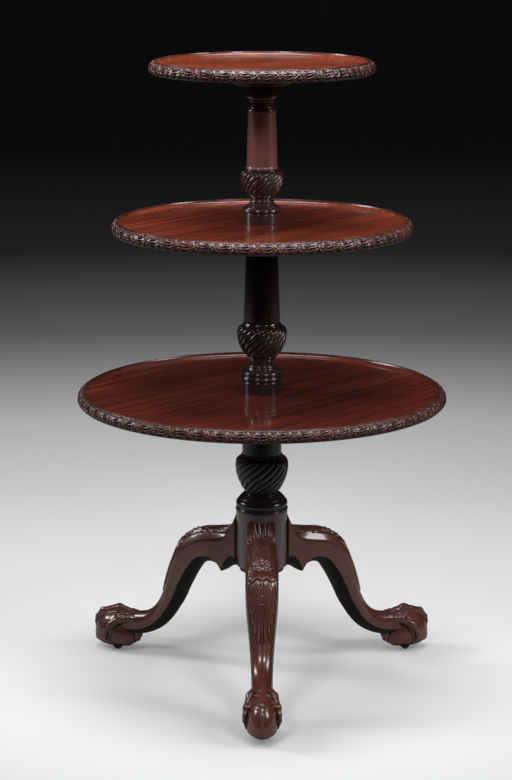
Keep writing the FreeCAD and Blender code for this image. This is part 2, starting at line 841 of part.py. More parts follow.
def arc_edge(start, end, bulge):
    """Arc in the leg's upright plane that swells to the right of its path."""
    flat_start, flat_end = Vector(start.x, start.z, 0), Vector(end.x, end.z, 0)
    middle = bulged_middle(flat_start, flat_end, bulge)
    return Part.Arc(start, Vector(middle.x, start.y, middle.y), end).toShape()


def leg_spur():
    """Scroll-cut spur between the hub and the arch of the leg."""
    half = number("spur_width") / 2
    inside_leg = root_belly_height() + number("leg_root_round")
    near_cheek = Vector(0, -half, 0)
    root, tip, arch = (pattern_point(f"spur_{name}") + near_cheek for name in ("root", "tip", "arch"))
    outer_top = Vector(arch.x, -half, inside_leg)
    inner_top = Vector(root.x, -half, inside_leg)
    outline = Part.Wire([
        arc_edge(root, tip, -SPUR_HOLLOW),
        arc_edge(tip, arch, -SPUR_ARCH),
        Part.makeLine(arch, outer_top),
        Part.makeLine(outer_top, inner_top),
        Part.makeLine(inner_top, root),
    ])
    return Part.Face(outline).extrude(Vector(0, 2 * half, 0))


def ball_half_sizes():
    return Vector(number("ball_length"), number("ball_width"), number("ball_depth")) * 0.5


def ball_centre():
    return Vector(number("foot_reach"), 0, number("ball_height"))


def ball_solid():
    """Egg-shaped ball, longest along the leg's own direction."""
    stretch = FreeCAD.Matrix()
    stretch.scale(ball_half_sizes())
    ball = Part.makeSphere(1).transformGeometry(stretch)
    ball.translate(ball_centre())
    return ball


def talon_ring(point, along, outward, radius):
    """Round section across the talon's path, with its seam on the side away from the ball."""
    ring = Part.Circle(point, along, radius)
    ring.XAxis = outward - along * (outward.dot(along) / along.dot(along))
    return Part.Wire(ring.toShape())


def talon(path, side):
    """Tapering knuckled toe over the ball: path points are shares of the ball's half sizes, with a girth."""
    centre, half = ball_centre(), ball_half_sizes()
    points = [centre + Vector(x * half.x, side * y * half.y, z * half.z) for x, y, z, girth in path]
    rings = []
    for index, point in enumerate(points):
        before, after = points[max(index - 1, 0)], points[min(index + 1, len(points) - 1)]
        radius = path[index][3] * number("talon_radius")
        rings.append(talon_ring(point, after - before, point - centre, radius))
    return Part.makeLoft(rings, True, False)


wheel_top = size("wheel_radius") * 2
fork_crown_foot = stacked(wheel_top, "fork_crown_gap")
fork_crown_top = stacked(fork_crown_foot, "fork_crown_thickness")
plate_foot = stacked(fork_crown_top, "plate_gap")
plate_top = stacked(plate_foot, "plate_thickness")
pivot_top = stacked(fork_crown_top, "pivot_length")
half_wheel = size("wheel_width") / 2
swivel_radius = (size("castor_trail") + size("wheel_radius")).hypot(half_wheel)
recess_radius = swivel_radius + size("recess_clearance")
PLATE_SCREWS = 2


def plate_screws(swell=0.0, head_drop=0.0):
    """Two short screws of a castor plate, whose shoulder line is the plate's upper face."""
    one = screw("plate_screw", number("plate_screw_grip"), number("plate_screw_bite"), swell, head_drop)
    centre = Vector(number("foot_reach"), 0, plate_top.value)
    return ring_of(one, PLATE_SCREWS, number("plate_screw_circle"), BETWEEN_LEGS, centre)


def foot_spaces():
    """What is taken out of the ball: the floor gap, the castor's hollow, its pivot hole and screw holes."""
    reach = number("foot_reach")
    gap = number("ball_floor_gap")
    span = number("ball_length") * 2
    below = Part.makeBox(span, span, gap, Vector(reach - span / 2, -span / 2, 0))
    hollow = Part.makeCylinder(recess_radius.value, plate_top.value, Vector(reach, 0, 0))
    hole_radius = number("pivot_radius") + number("pivot_hole_clearance")
    hole_height = pivot_top.value + number("pivot_hole_clearance")
    hole = Part.makeCylinder(hole_radius, hole_height, Vector(reach, 0, 0))
    return [below, hollow, hole] + plate_screws(number("screw_clearance")).Solids


def leg_solid():
    whole = leg_shaft().fuse([leg_spur(), ball_solid(), talon(FRONT_TALON, 1), talon(REAR_TALON, 1)]
                             + [talon(SIDE_TALON, side) for side in TALON_SIDES])
    seat_radius = number("hub_radius") + number("leg_seat_clearance")
    tall = root_crown_height() * 2
    trimmed = whole.cut([Part.makeCylinder(seat_radius, tall)] + foot_spaces())
    hub_radius = number("hub_radius")
    foot = Vector(0, 0, number("pillar_bottom"))
    tongue = dovetail(0, number("dovetail_height")).common(Part.makeCylinder(hub_radius, tall))
    tongue.translate(foot)
    neck_foot = root_belly_height()
    neck_top = number("pillar_bottom") + number("dovetail_height")
    neck_width = number("dovetail_neck_width")
    neck_length = neck_width * NECK_SHARE
    neck_corner = Vector(hub_radius - neck_length / 2, -neck_width / 2, neck_foot)
    neck = Part.makeBox(neck_length, neck_width, neck_top - neck_foot, neck_corner)
    return trimmed.fuse([tongue, neck]).removeSplitter()


# Castors
def bound_cylinder(name, radius, height, **base):
    cylinder = doc.addObject("Part::Cylinder", name)
    cylinder.setExpression("Radius", radius.text)
    cylinder.setExpression("Height", height.text)
    for axis, position in base.items():
        cylinder.setExpression(f"Placement.Base.{axis}", position.text)
    return cylinder


def bound_box(name, length, width, height, **base):
    box = doc.addObject("Part::Box", name)
    box.setExpression("Length", length.text)
    box.setExpression("Width", width.text)
    box.setExpression("Height", height.text)
    for axis, position in base.items():
        box.setExpression(f"Placement.Base.{axis}", position.text)
    return box


def fused(name, features):
    fuse = doc.addObject("Part::MultiFuse", name)
    fuse.Shapes = features
    return fuse


def castor_plate(side, turn):
    reach = size("foot_reach")
    radius = recess_radius - size("plate_side_clearance")
    disc = bound_cylinder(f"{side}_plate_disc", radius, size("plate_thickness"), x=reach, z=plate_foot)
    bore_radius = size("pivot_radius") + size("running_clearance")
    bore = bound_cylinder(f"{side}_plate_bore", bore_radius, plate_top, x=reach)
    holes = solid_feature(f"{side}_plate_holes", plate_screws(number("screw_clearance"), plate_foot.value))
    cut = cut_away(f"{side}_plate_cut", disc, fused(f"{side}_plate_spaces", [bore, holes]))
    keep(f"{side}_castor_plate", cut).Placement = turn


def across(feature):
    """Lays an upright cylinder along the wheel's axis."""
    feature.Placement = Placement(feature.Placement.Base, Rotation(Vector(1, 0, 0), -90))
    return feature


def castor_fork(side, turn):
    reach = size("foot_reach")
    axle_reach = reach + size("castor_trail")
    arm_width = size("fork_arm_width")
    arm = size("fork_arm_thickness")
    inner = half_wheel + size("fork_side_gap")
    outer = inner + arm
    crown_radius = outer.hypot(arm_width / 2)
    arm_foot = size("wheel_radius") - arm_width / 2
    arm_height = fork_crown_top - arm_foot
    arm_reach = axle_reach - arm_width / 2
    crown = bound_cylinder(f"{side}_fork_crown", crown_radius, size("fork_crown_thickness"),
                           x=reach, z=fork_crown_foot)
    pivot = bound_cylinder(f"{side}_fork_pivot", size("pivot_radius"), pivot_top - fork_crown_foot,
                           x=reach, z=fork_crown_foot)
    arms = []
    for hand, start in (("near", AXIS - outer), ("far", inner)):
        arms.append(bound_box(f"{side}_fork_{hand}_arm", arm_width, arm, arm_height,
                              x=arm_reach, y=start, z=arm_foot))
    hole_radius = size("axle_radius") + size("running_clearance")
    hole = across(bound_cylinder(f"{side}_fork_hole", hole_radius, outer * 2))
    for axis, position in (("x", axle_reach), ("y", AXIS - outer), ("z", size("wheel_radius"))):
        hole.setExpression(f"Placement.Base.{axis}", position.text)
    body = fused(f"{side}_fork_body", [crown, pivot, *arms])
    keep(f"{side}_castor_fork", cut_away(f"{side}_fork_cut", body, hole)).Placement = turn
    axle = bound_cylinder(f"{side}_axle", size("axle_radius"), outer * 2)
    centre = Vector(axle_reach.value, -outer.value, number("wheel_radius"))
    keep(f"{side}_castor_axle", axle).Placement = turn * Placement(centre, Rotation(Vector(1, 0, 0), -90))


def castor_wheel(side, turn):
    radius = size("wheel_radius")
    rounding = size("wheel_edge_round")
    bore = size("axle_radius") + size("running_clearance")
    width = size("wheel_width")
    wheel = turned_body(f"{side}_wheel_turning", [
        (bore, AXIS, STRAIGHT),
        (radius - rounding, AXIS, STRAIGHT),
        (radius, rounding, QUARTER_ROUND),
        (radius, width - rounding, STRAIGHT),
        (radius - rounding, width, QUARTER_ROUND),
        (bore, width, STRAIGHT),
    ])
    centre = Vector(number("foot_reach") + number("castor_trail"), -half_wheel.value, number("wheel_radius"))
    keep(f"{side}_castor_wheel", wheel).Placement = turn * Placement(centre, Rotation(Vector(1, 0, 0), -90))


leg_shape = leg_solid()
all_plate_screws = []
for side, angle in LEG_ANGLES.items():
    turn = Placement(Vector(), Rotation(Vector(0, 0, 1), angle))
    keep(f"{side}_leg", solid_feature(f"{side}_leg", leg_shape, turn))
    castor_plate(side, turn)
    castor_fork(side, turn)
    castor_wheel(side, turn)
    for one in plate_screws().Solids:
        one.rotate(Vector(), Vector(0, 0, 1), angle)
        all_plate_screws.append(one)
keep("castor_plate_screws", solid_feature("castor_plate_screws", Part.makeCompound(all_plate_screws)))


# Check every feature, then write the pieces
doc.recompute()
for feature in doc.Objects:
    if "Invalid" in feature.State or "Error" in feature.State:
        raise RuntimeError(f"{feature.Name} failed: {feature.State}")
os.makedirs("parts", exist_ok=True)
for label, feature in nodes.items():
    shape = feature.Shape
    if shape.isNull() or not shape.isValid() or not shape.Solids:
        raise RuntimeError(f"{label} has no valid solid")
    shape.exportStep(f"parts/{label}.step")
    print(f"{label}: {len(shape.Solids)} solids, {shape.Volume:.0f} mm3")
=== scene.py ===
import math

import bpy
import numpy as np
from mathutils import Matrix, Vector


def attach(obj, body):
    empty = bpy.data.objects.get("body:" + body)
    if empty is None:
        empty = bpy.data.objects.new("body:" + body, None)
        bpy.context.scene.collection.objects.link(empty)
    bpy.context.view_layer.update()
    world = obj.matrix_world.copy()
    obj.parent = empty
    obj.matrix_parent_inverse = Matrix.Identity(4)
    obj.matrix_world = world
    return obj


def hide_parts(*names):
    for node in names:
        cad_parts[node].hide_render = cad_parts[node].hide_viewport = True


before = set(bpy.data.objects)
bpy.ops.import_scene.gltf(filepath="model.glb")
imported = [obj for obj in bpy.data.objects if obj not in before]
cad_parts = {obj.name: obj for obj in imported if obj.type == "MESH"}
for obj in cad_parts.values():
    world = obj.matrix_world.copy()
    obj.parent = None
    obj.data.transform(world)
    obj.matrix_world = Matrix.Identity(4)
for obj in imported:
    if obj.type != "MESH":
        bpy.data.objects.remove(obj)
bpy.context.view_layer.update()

# Shapes are worked out in millimetres and written in metres
MM = 0.001
TURN = 2 * math.pi


# Meshes
def grid_faces(rows, columns, around=False, over=False):
    """Four-cornered faces of a grid of points, closed round its columns and over its rows where asked."""
    row = np.arange(rows if over else rows - 1)[:, None]
    column = np.arange(columns if around else columns - 1)[None, :]
    next_row, next_column = (row + 1) % rows, (column + 1) % columns
    corners = [row * columns + column, row * columns + next_column,
               next_row * columns + next_column, next_row * columns + column]
    return np.stack(corners, -1).reshape(-1, 4)


def lengths_along(path):
    return np.append(0, np.cumsum(np.linalg.norm(np.diff(path, axis=0), axis=1)))


class Shape:
    """Points in millimetres with faces, a carving tone for each point that the finishes turn into painted
    shade where it is low and a painted highlight where it is above 1, and the finish of each face.
    """

    def __init__(self, points, faces, carving=None, finish=0, grain=None):
        self.points = np.asarray(points, float).reshape(-1, 3)
        self.faces = [tuple(face) for face in faces]
        self.carving = np.ones(len(self.points)) if carving is None else np.asarray(carving, float).ravel()
        self.finish = [finish] * len(self.faces) if isinstance(finish, int) else list(finish)
        self.grain = self.points.copy() if grain is None else np.asarray(grain, float).reshape(-1, 3)

    def __add__(self, other):
        start = len(self.points)
        faces = self.faces + [tuple(corner + start for corner in face) for face in other.faces]
        return Shape(np.vstack([self.points, other.points]), faces, np.append(self.carving, other.carving),
                     self.finish + other.finish, np.vstack([self.grain, other.grain]))

    def raised(self, height):
        self.points[:, 2] += height
        self.grain[:, 2] += height
        return self

    def turned_by(self, degrees):
        angle = math.radians(degrees)
        cosine, sine = math.cos(angle), math.sin(angle)
        spin = np.array([[cosine, -sine, 0], [sine, cosine, 0], [0, 0, 1]])
        return Shape(self.points @ spin.T, self.faces, self.carving, self.finish, self.grain)

    def mesh(self, name):
        mesh = bpy.data.meshes.new(name)
        mesh.from_pydata((self.points * MM).tolist(), [], self.faces)
        mesh.shade_smooth()
        mesh.polygons.foreach_set("material_index", self.finish)
        depth = mesh.attributes.new("carving", "FLOAT", "POINT")
        depth.data.foreach_set("value", self.carving)
        grain = mesh.attributes.new("grain", "FLOAT_VECTOR", "POINT")
        grain.data.foreach_set("vector", (self.grain * MM).ravel())
        return mesh

    @staticmethod
    def read(mesh, finish=0):
        points = np.empty(len(mesh.vertices) * 3)
        mesh.vertices.foreach_get("co", points)
        carving = np.empty(len(mesh.vertices))
        mesh.attributes["carving"].data.foreach_get("value", carving)
        faces = [tuple(face.vertices) for face in mesh.polygons]
        return Shape(points / MM, faces, carving, finish)


def new_object(name, data):
    item = bpy.data.objects.new(name, data)
    bpy.context.scene.collection.objects.link(item)
    return item


def add_piece(name, shape, finishes, body, slot, *nodes):
    """Piece in place of CAD nodes, riding on their body."""
    mesh = shape.mesh(name)
    for finish in finishes:
        mesh.materials.append(finish)
    piece = new_object(name, mesh)
    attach(piece, body)
    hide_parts(*nodes)


# Outlines for turning, from points (radius, height), with a bulge as third number where an arc ends
ARC_STEP = math.radians(7)
CORNER_TURN = math.radians(18)
CORNER_SHARE, CORNER_GUARD = 0.4, 1.25
CORNER_PLACES = (0, 0.25, 0.5, 0.75, 1)


def with_arcs(points):
    """Points of an outline with its bulged stretches drawn as arcs that swell to the right of the path."""
    path = []
    for index, (radius, height, *arc) in enumerate(points):
        end = np.array([radius, height], float)
        if arc:
            bulge = arc[0]
            start = np.array(points[index - 1][:2], float)
            half = np.linalg.norm(end - start) / 2
            along = (end - start) / (2 * half)
            outward = np.array([along[1], -along[0]]) * math.copysign(1, bulge)
            sweep = 4 * math.atan(abs(bulge))
            arc_radius = half / math.sin(sweep / 2)
            steps = max(4, math.ceil(sweep / ARC_STEP))
            for angle in np.linspace(-sweep / 2, sweep / 2, steps + 1)[1:-1]:
                rise = arc_radius * (math.cos(angle) - math.cos(sweep / 2))
                path.append((start + end) / 2 + along * arc_radius * math.sin(angle) + outward * rise)
        path.append(end)
    return path


def softened(path, closed, soft):
    """Outline with its corners eased over, and a point kept close to each side of them."""
    count = len(path)
    eased = []
    for index, point in enumerate(path):
        if not closed and index in (0, count - 1):
            eased.append(point)
            continue
        back, ahead = path[index - 1] - point, path[(index + 1) % count] - point
        reach = min(soft, CORNER_SHARE * np.linalg.norm(back), CORNER_SHARE * np.linalg.norm(ahead))
        back, ahead = back / np.linalg.norm(back), ahead / np.linalg.norm(ahead)
        if math.acos(np.clip(-back @ ahead, -1, 1)) < CORNER_TURN:
            eased.append(point)
            continue
        eased.append(point + back * reach * CORNER_GUARD)
        for share in CORNER_PLACES:
            eased.append(point + back * reach * (1 - share) ** 2 + ahead * reach * share ** 2)
        eased.append(point + ahead * reach * CORNER_GUARD)
    return np.array(eased)


def turned(points, soft=0.6, segments=144):
    """Piece turned about the stem's axis: an outline from axis to axis, or a closed one round a bore."""
    closed = points[0][0] > 0
    outline = softened(with_arcs(points), closed, soft)
    ring = outline if closed else outline[1:-1]
    angles = np.arange(segments) * TURN / segments
    around = np.stack([np.cos(angles), np.sin(angles)], -1)
    walls = np.empty((len(ring), segments, 3))
    walls[..., :2] = ring[:, None, :1] * around[None]
    walls[..., 2] = ring[:, None, 1]
    faces = grid_faces(len(ring), segments, around=True, over=closed).tolist()
    points = walls.reshape(-1, 3)
    if not closed:
        poles = np.array([[0, 0, outline[0][1]], [0, 0, outline[-1][1]]])
        foot, head, last = len(points), len(points) + 1, len(points) - segments
        for column in range(segments):
            after = (column + 1) % segments
            faces.append((foot, after, column))
            faces.append((head, last + column, last + after))
        points = np.vstack([points, poles])
    return Shape(points, faces)


# What repeats round the axis is one motif and a tree of nodes
def round_the_axis_tree():
    tree = bpy.data.node_groups.new("repeats_round_the_axis", "GeometryNodeTree")
    for name, kind in (("Motif", "Geometry"), ("Count", "Int"), ("Seam", "Float"), ("Finish", "Material")):
        tree.interface.new_socket(name, in_out="INPUT", socket_type=f"NodeSocket{kind}")
    tree.interface.new_socket("Ring", in_out="OUTPUT", socket_type="NodeSocketGeometry")
    node, link = tree.nodes.new, tree.links.new
    given, ring = node("NodeGroupInput"), node("NodeGroupOutput")
    line = node("GeometryNodeMeshLine")
    line.inputs["Offset"].default_value = (0, 0, 0)
    share, angle = node("ShaderNodeMath"), node("ShaderNodeMath")
    share.operation, angle.operation = "DIVIDE", "MULTIPLY"
    angle.inputs[1].default_value = TURN
    about, spin = node("ShaderNodeCombineXYZ"), node("FunctionNodeEulerToRotation")
    copies, real = node("GeometryNodeInstanceOnPoints"), node("GeometryNodeRealizeInstances")
    weld, painted = node("GeometryNodeMergeByDistance"), node("GeometryNodeSetMaterial")
    link(given.outputs["Count"], line.inputs["Count"])
    link(node("GeometryNodeInputIndex").outputs[0], share.inputs[0])
    link(given.outputs["Count"], share.inputs[1])
    link(share.outputs[0], angle.inputs[0])
    link(angle.outputs[0], about.inputs["Z"])
    link(about.outputs[0], spin.inputs[0])
    link(line.outputs[0], copies.inputs["Points"])
    link(given.outputs["Motif"], copies.inputs["Instance"])
    link(spin.outputs[0], copies.inputs["Rotation"])
    for start, end in ((copies, real), (real, weld), (weld, painted), (painted, ring)):
        link(start.outputs[0], end.inputs[0])
    link(given.outputs["Seam"], weld.inputs["Distance"])
    link(given.outputs["Finish"], painted.inputs["Material"])
    return tree


AXIS_TREE = round_the_axis_tree()
AXIS_INPUTS = {item.name: item.identifier for item in AXIS_TREE.interface.items_tree}
SEAM = 0.01


def round_the_axis(motif, count, paint, finish=0):
    """Shape made of a motif repeated round the axis, welded where the copies meet."""
    carrier = new_object("motif", motif.mesh("motif"))
    modifier = carrier.modifiers.new("ring", "NODES")
    modifier.node_group = AXIS_TREE
    modifier[AXIS_INPUTS["Count"]] = count
    modifier[AXIS_INPUTS["Seam"]] = SEAM * MM
    modifier[AXIS_INPUTS["Finish"]] = paint
    depsgraph = bpy.context.evaluated_depsgraph_get()
    mesh = bpy.data.meshes.new_from_object(carrier.evaluated_get(depsgraph))
    shape = Shape.read(mesh, finish)
    bpy.data.objects.remove(carrier)
    bpy.data.meshes.remove(mesh)
    return shape


# Finishes
def shader(name):
    material = bpy.data.materials.new(name)
    material.use_nodes = True
    tree = material.node_tree
    tree.nodes.clear()
    surface = tree.nodes.new("ShaderNodeBsdfPrincipled")
    output = tree.nodes.new("ShaderNodeOutputMaterial")
    tree.links.new(surface.outputs[0], output.inputs["Surface"])
    return material, tree, surface


def put(tree, socket, value):
    """Socket linked to another socket, or set to a value."""
    if isinstance(value, bpy.types.NodeSocket):
        tree.links.new(value, socket)
    else:
        socket.default_value = value


def feed(tree, node, **values):
    """Named sockets of a node, linked or set; an underscore stands for a space in a name."""
    for name, value in values.items():
        put(tree, node.inputs[name.replace("_", " ")], value)


def ramp(tree, factor, *stops):
    """Colour ramp from (position, colour) stops, fed by a factor."""
    node = tree.nodes.new("ShaderNodeValToRGB")
    elements = node.color_ramp.elements
    for element, (position, colour) in zip(elements, (stops[0], stops[-1])):
        element.position, element.color = position, (*colour, 1)
    for position, colour in stops[1:-1]:
        elements.new(position).color = (*colour, 1)
    tree.links.new(factor, node.inputs[0])
    return node.outputs[0]


def span(tree, factor, low, high, to_low, to_high):
    """Factor carried from one span of numbers to another, and held at its ends."""
    node = tree.nodes.new("ShaderNodeMapRange")
    for socket, value in zip(node.inputs[1:5], (low, high, to_low, to_high)):
        socket.default_value = value
    tree.links.new(factor, node.inputs[0])
    return node.outputs[0]


def noise(tree, place, stretch, detail, distortion, seed=(0, 0, 0)):
    """Noise drawn out along the grain."""
    mapping, texture = tree.nodes.new("ShaderNodeMapping"), tree.nodes.new("ShaderNodeTexNoise")
    feed(tree, mapping, Vector=place, Location=seed, Scale=stretch)
    feed(tree, texture, Vector=mapping.outputs[0], Scale=1, Detail=detail, Roughness=0.6,
         Distortion=distortion)
    return texture.outputs[0]


def blended(tree, factor, first, second, how="MIX"):
    node = tree.nodes.new("ShaderNodeMix")
    node.data_type = "RGBA"
    node.blend_type = how
    for index, value in ((0, factor), (6, first), (7, second)):
        put(tree, node.inputs[index], value)
    return node.outputs[2]


def larger(tree, first, second):
    node = tree.nodes.new("ShaderNodeMath")
    node.operation = "MAXIMUM"
    tree.links.new(first, node.inputs[0])
    tree.links.new(second, node.inputs[1])
    return node.outputs[0]


def bump(tree, height, strength, distance, inward=False):
    node = tree.nodes.new("ShaderNodeBump")
    node.invert = inward
    feed(tree, node, Height=height, Strength=strength, Distance=distance)
    return node.outputs[0]


def stored(tree, name):
    """Outputs of a node that reads what the points of a mesh hold under a name."""
    node = tree.nodes.new("ShaderNodeAttribute")
    node.attribute_name = name
    return node.outputs


def object_place(tree):
    return tree.nodes.new("ShaderNodeTexCoord").outputs["Object"]


def along(axis, fine, long):
    """Noise scales that run fine across the grain and long along it."""
    return tuple(long if index == axis else fine for index in range(3))


# Near-black painted shade for hollows, creases and the carving's ground, and a pale painted highlight for
# raised carving
PAINTED_SHADE, PAINTED_HIGHLIGHT = (0.006, 0.003, 0.003, 1), (0.24, 0.13, 0.105, 1)


def polished_mahogany(name, deep, mid, pale, axis, gloss, follows=False, shine=0.5, coat=0.35, clear=0.10,
                      veins=0.0):
    """French-polished mahogany: streaks and ribbons along the grain, dark pores; painted shade and a
    rougher polish where the carving tone is low, in hollows and creases, and a painted highlight on raised
    carving.
    """
    material, tree, surface = shader(name)
    place = stored(tree, "grain")["Vector"] if follows else object_place(tree)
    streaks = noise(tree, place, along(axis, 85, 3.2), 6, 0.5)
    ribbon = noise(tree, place, along(axis, 34 if veins else 17, 2.1), 3, 0.8, (3, 1, 2))
    cloud = noise(tree, place, (4, 4, 4), 2, 0, (7, 5, 1))
    pores = noise(tree, place, along(axis, 620, 26), 2, 0, (1, 9, 4))
    body = ramp(tree, streaks, (0.30, deep), (0.52, mid), (0.72, pale))
    figure = ramp(tree, ribbon, (0.32, deep), (0.50, mid), (0.68, pale))
    wood = blended(tree, 0.3 if veins else 0.5, body, figure)
    shade = ramp(tree, cloud, (0.3, (0.72, 0.70, 0.70)), (0.7, (1.12, 1.10, 1.08)))
    wood = blended(tree, 1.0, wood, shade, "MULTIPLY")
    if veins:
        lines = noise(tree, place, along(axis, 150, 2.6), 5, 1.2, (5, 2, 8))
        wood = blended(tree, span(tree, lines, 0.48, 0.66, 0, veins), wood, (*deep, 1))
    flecks = span(tree, pores, 0.60, 0.68, 0, 0.55)
    wood = blended(tree, flecks, wood, (*deep, 1))
    carving = stored(tree, "carving")["Fac"]
    # Painted shade where the carving tone falls below 0.9, painted highlight where it rises above 1
    wood = blended(tree, span(tree, carving, 0.0, 0.9, 0.85, 0), wood, PAINTED_SHADE)
    wood = blended(tree, span(tree, carving, 1.0, 2.0, 0, 0.7), wood, PAINTED_HIGHLIGHT)
    polish, rougher_in_hollows = span(tree, cloud, 0.3, 0.7, gloss, gloss + 0.10), span(tree, carving, 0.1, 0.9, 0.9, 0)
    feed(tree, surface, Base_Color=wood, Roughness=larger(tree, polish, rougher_in_hollows), Specular_IOR_Level=shine,
         Coat_Weight=coat, Coat_Roughness=clear, Normal=bump(tree, flecks, 0.10, 0.0004, inward=True))
    return material


def metal(name, deep, pale, roughness):
    material, tree, surface = shader(name)
    stain = noise(tree, object_place(tree), (90, 90, 90), 5, 0.4)
    feed(tree, surface, Base_Color=ramp(tree, stain, (0.35, deep), (0.65, pale)), Metallic=1,
         Roughness=span(tree, stain, 0.3, 0.7, roughness + 0.2, roughness))
    return material


def worn_leather(name):
    material, tree, surface = shader(name)
    place = object_place(tree)
    layers = noise(tree, place, (500, 500, 900), 4, 0.3)
    scuffs = noise(tree, place, (160, 160, 160), 4, 0, (2, 2, 5))
    colour = ramp(tree, layers, (0.35, (0.035, 0.014, 0.008)), (0.65, (0.11, 0.045, 0.024)))
    colour = blended(tree, span(tree, scuffs, 0.5, 0.7, 0, 0.5), colour, (0.02, 0.01, 0.007, 1))
    feed(tree, surface, Base_Color=colour, Roughness=span(tree, scuffs, 0.3, 0.7, 0.45, 0.75),
         Normal=bump(tree, layers, 0.3, 0.0005))
    return material


GRAIN_X, GRAIN_Z = 0, 2
# The three fields are lighter and darker copies of one mahogany: the lower field is painted darker for the
# shade of the trays above it
field_woods = {
    "lower": polished_mahogany("lower_field_mahogany", (0.045, 0.009, 0.007), (0.130, 0.024, 0.014),
                               (0.22, 0.048, 0.025), GRAIN_X, 0.12, True, coat=0.45, clear=0.06, veins=0.6),
    "middle": polished_mahogany("middle_field_mahogany", (0.060, 0.011, 0.007), (0.190, 0.033, 0.015),
                                (0.31, 0.064, 0.028), GRAIN_X, 0.14, True, shine=0.45, veins=0.6),
    "top": polished_mahogany("top_field_mahogany", (0.056, 0.010, 0.006), (0.150, 0.026, 0.010),
                             (0.24, 0.054, 0.020), GRAIN_X, 0.22, True, shine=0.3, coat=0.15, veins=0.6),
}
rim_wood = polished_mahogany("carved_rim_mahogany", (0.026, 0.008, 0.006), (0.068, 0.021, 0.016),
                             (0.135, 0.044, 0.032), GRAIN_X, 0.17, coat=0.12, clear=0.08)
# stem_wood, shaft_wood and vase_wood are darker and lighter copies of one mahogany: the lower stems painted
# near black for the shade under the trays, the top stem's vase and shaft painted lighter as less shaded
stem_wood = polished_mahogany("stem_mahogany", (0.010, 0.008, 0.008), (0.021, 0.014, 0.013),
                              (0.036, 0.021, 0.018), GRAIN_Z, 0.14, shine=0.38, coat=0.3, clear=0.07)
shaft_wood = polished_mahogany("top_shaft_mahogany", (0.070, 0.024, 0.022), (0.170, 0.060, 0.053),
                               (0.310, 0.120, 0.102), GRAIN_Z, 0.26, clear=0.12)
vase_wood = polished_mahogany("top_vase_mahogany", (0.018, 0.009, 0.009), (0.042, 0.019, 0.018),
                              (0.078, 0.034, 0.031), GRAIN_Z, 0.15, shine=0.45, coat=0.5, clear=0.06)
hub_wood = polished_mahogany("hub_mahogany", (0.030, 0.014, 0.012), (0.056, 0.026, 0.022),
                             (0.085, 0.040, 0.034), GRAIN_Z, 0.28, shine=0.8, coat=0.9)
leg_wood = polished_mahogany("leg_mahogany", (0.066, 0.017, 0.011), (0.106, 0.028, 0.018),
                             (0.160, 0.045, 0.029), GRAIN_X, 0.22, True, coat=0.6, clear=0.08)
# Near-black wood on a rough, unpolished finish: painted shade on the legs' undersides, the balls' bottoms
# and pads, and the bosses under the trays
underside_shade_wood = polished_mahogany("underside_painted_shade_mahogany", (0.004, 0.003, 0.003), (0.008, 0.006, 0.006),
                                   (0.014, 0.010, 0.010), GRAIN_X, 0.5, True, shine=0.25, coat=0)
# The castors' brass is near black
brass = metal("dark_brass", (0.03, 0.02, 0.010), (0.12, 0.08, 0.035), 0.35)
iron = metal("dark_iron", (0.03, 0.028, 0.026), (0.10, 0.095, 0.09), 0.40)
roller_leather = worn_leather("roller_leather")


# Trays
TRAYS = {
    "lower": {"radius": 315.0, "under": 500.5, "bore": 20.05, "motifs": 58, "grain": 48},
    "middle": {"radius": 255.0, "under": 791.9, "bore": 17.05, "motifs": 47, "grain": 50},
    "top": {"radius": 189.5, "under": 1058.3, "bore": 0.0, "motifs": 35, "grain": 22},
}
FIELD, RIM_TOP, NOSE, RIM_HEAD = 13.0, 19.0, 7.5, 18.0
UNDER_SETBACK, RIM_WIDTH, RIM_DROP, FILLET_WIDTH, COVE_WIDTH = 4.5, 10.5, 2.0, 2.0, 4.5
QUARTER_ROUND, COVE = 0.4142, -0.25
RIM_CUT = 4.0
MOTIF_COLUMNS, RIM_ROWS = 44, 29
PETALS, PETAL_RING, PETAL_HALF, FLOWER_HEART = 5, 4.4, 4.2, 2.8
EDGE_FILLET = (0.6, 1.4)
TRAY_SOFT, TRAY_SEGMENTS = 0.7, 240
BLADE_STEPS = 12
# Blades of the leafage on each side of a flower, as three points of a bent path and a half width
SPRAY = (
    (((4, 3), (8, 10), (15.5, 11)), 3.1), (((6, 2), (11, 6), (18, 5.2)), 2.8),
    (((6, -0.5), (12, -1), (18.5, -0.5)), 2.4), (((5, -3), (10, -6.5), (18, -6)), 2.8),
    (((3, -5), (7, -11.5), (14, -12)), 2.8),
)


def smooth_step(value, low, high):
    share = np.clip((value - low) / (high - low), 0, 1)
    return share * share * (3 - 2 * share)


def ridge(distance, width):
    return np.exp(-(distance / width) ** 2)


def dome(distance, radius):
    return np.sqrt(np.clip(1 - (distance / radius) ** 2, 0, 1))


def blade(x, y, path, half, vein=0.35):
    """Height of a carved blade, from 0 to 1, along a bent path: rounded over, with a sunk vein."""
    start, bend, tip = np.array(path, float)
    share = np.linspace(0, 1, BLADE_STEPS + 1)[:, None]
    line = start * (1 - share) ** 2 + 2 * bend * share * (1 - share) + tip * share ** 2
    nearest, place = np.full(x.shape, 1e3), np.zeros(x.shape)
    for step, (first, last) in enumerate(zip(line, line[1:])):
        way = last - first
        part = np.clip(((x - first[0]) * way[0] + (y - first[1]) * way[1]) / (way @ way), 0, 1)
        away = np.hypot(x - first[0] - part * way[0], y - first[1] - part * way[1])
        place = np.where(away < nearest, (step + part) / BLADE_STEPS, place)
        nearest = np.minimum(nearest, away)
    width = half * np.sin(math.pi * (0.1 + 0.9 * place) ** 0.8) ** 0.6 + 1e-6
    return np.clip(dome(nearest, width) - vein * ridge(nearest, 0.22 * half), 0, 1)


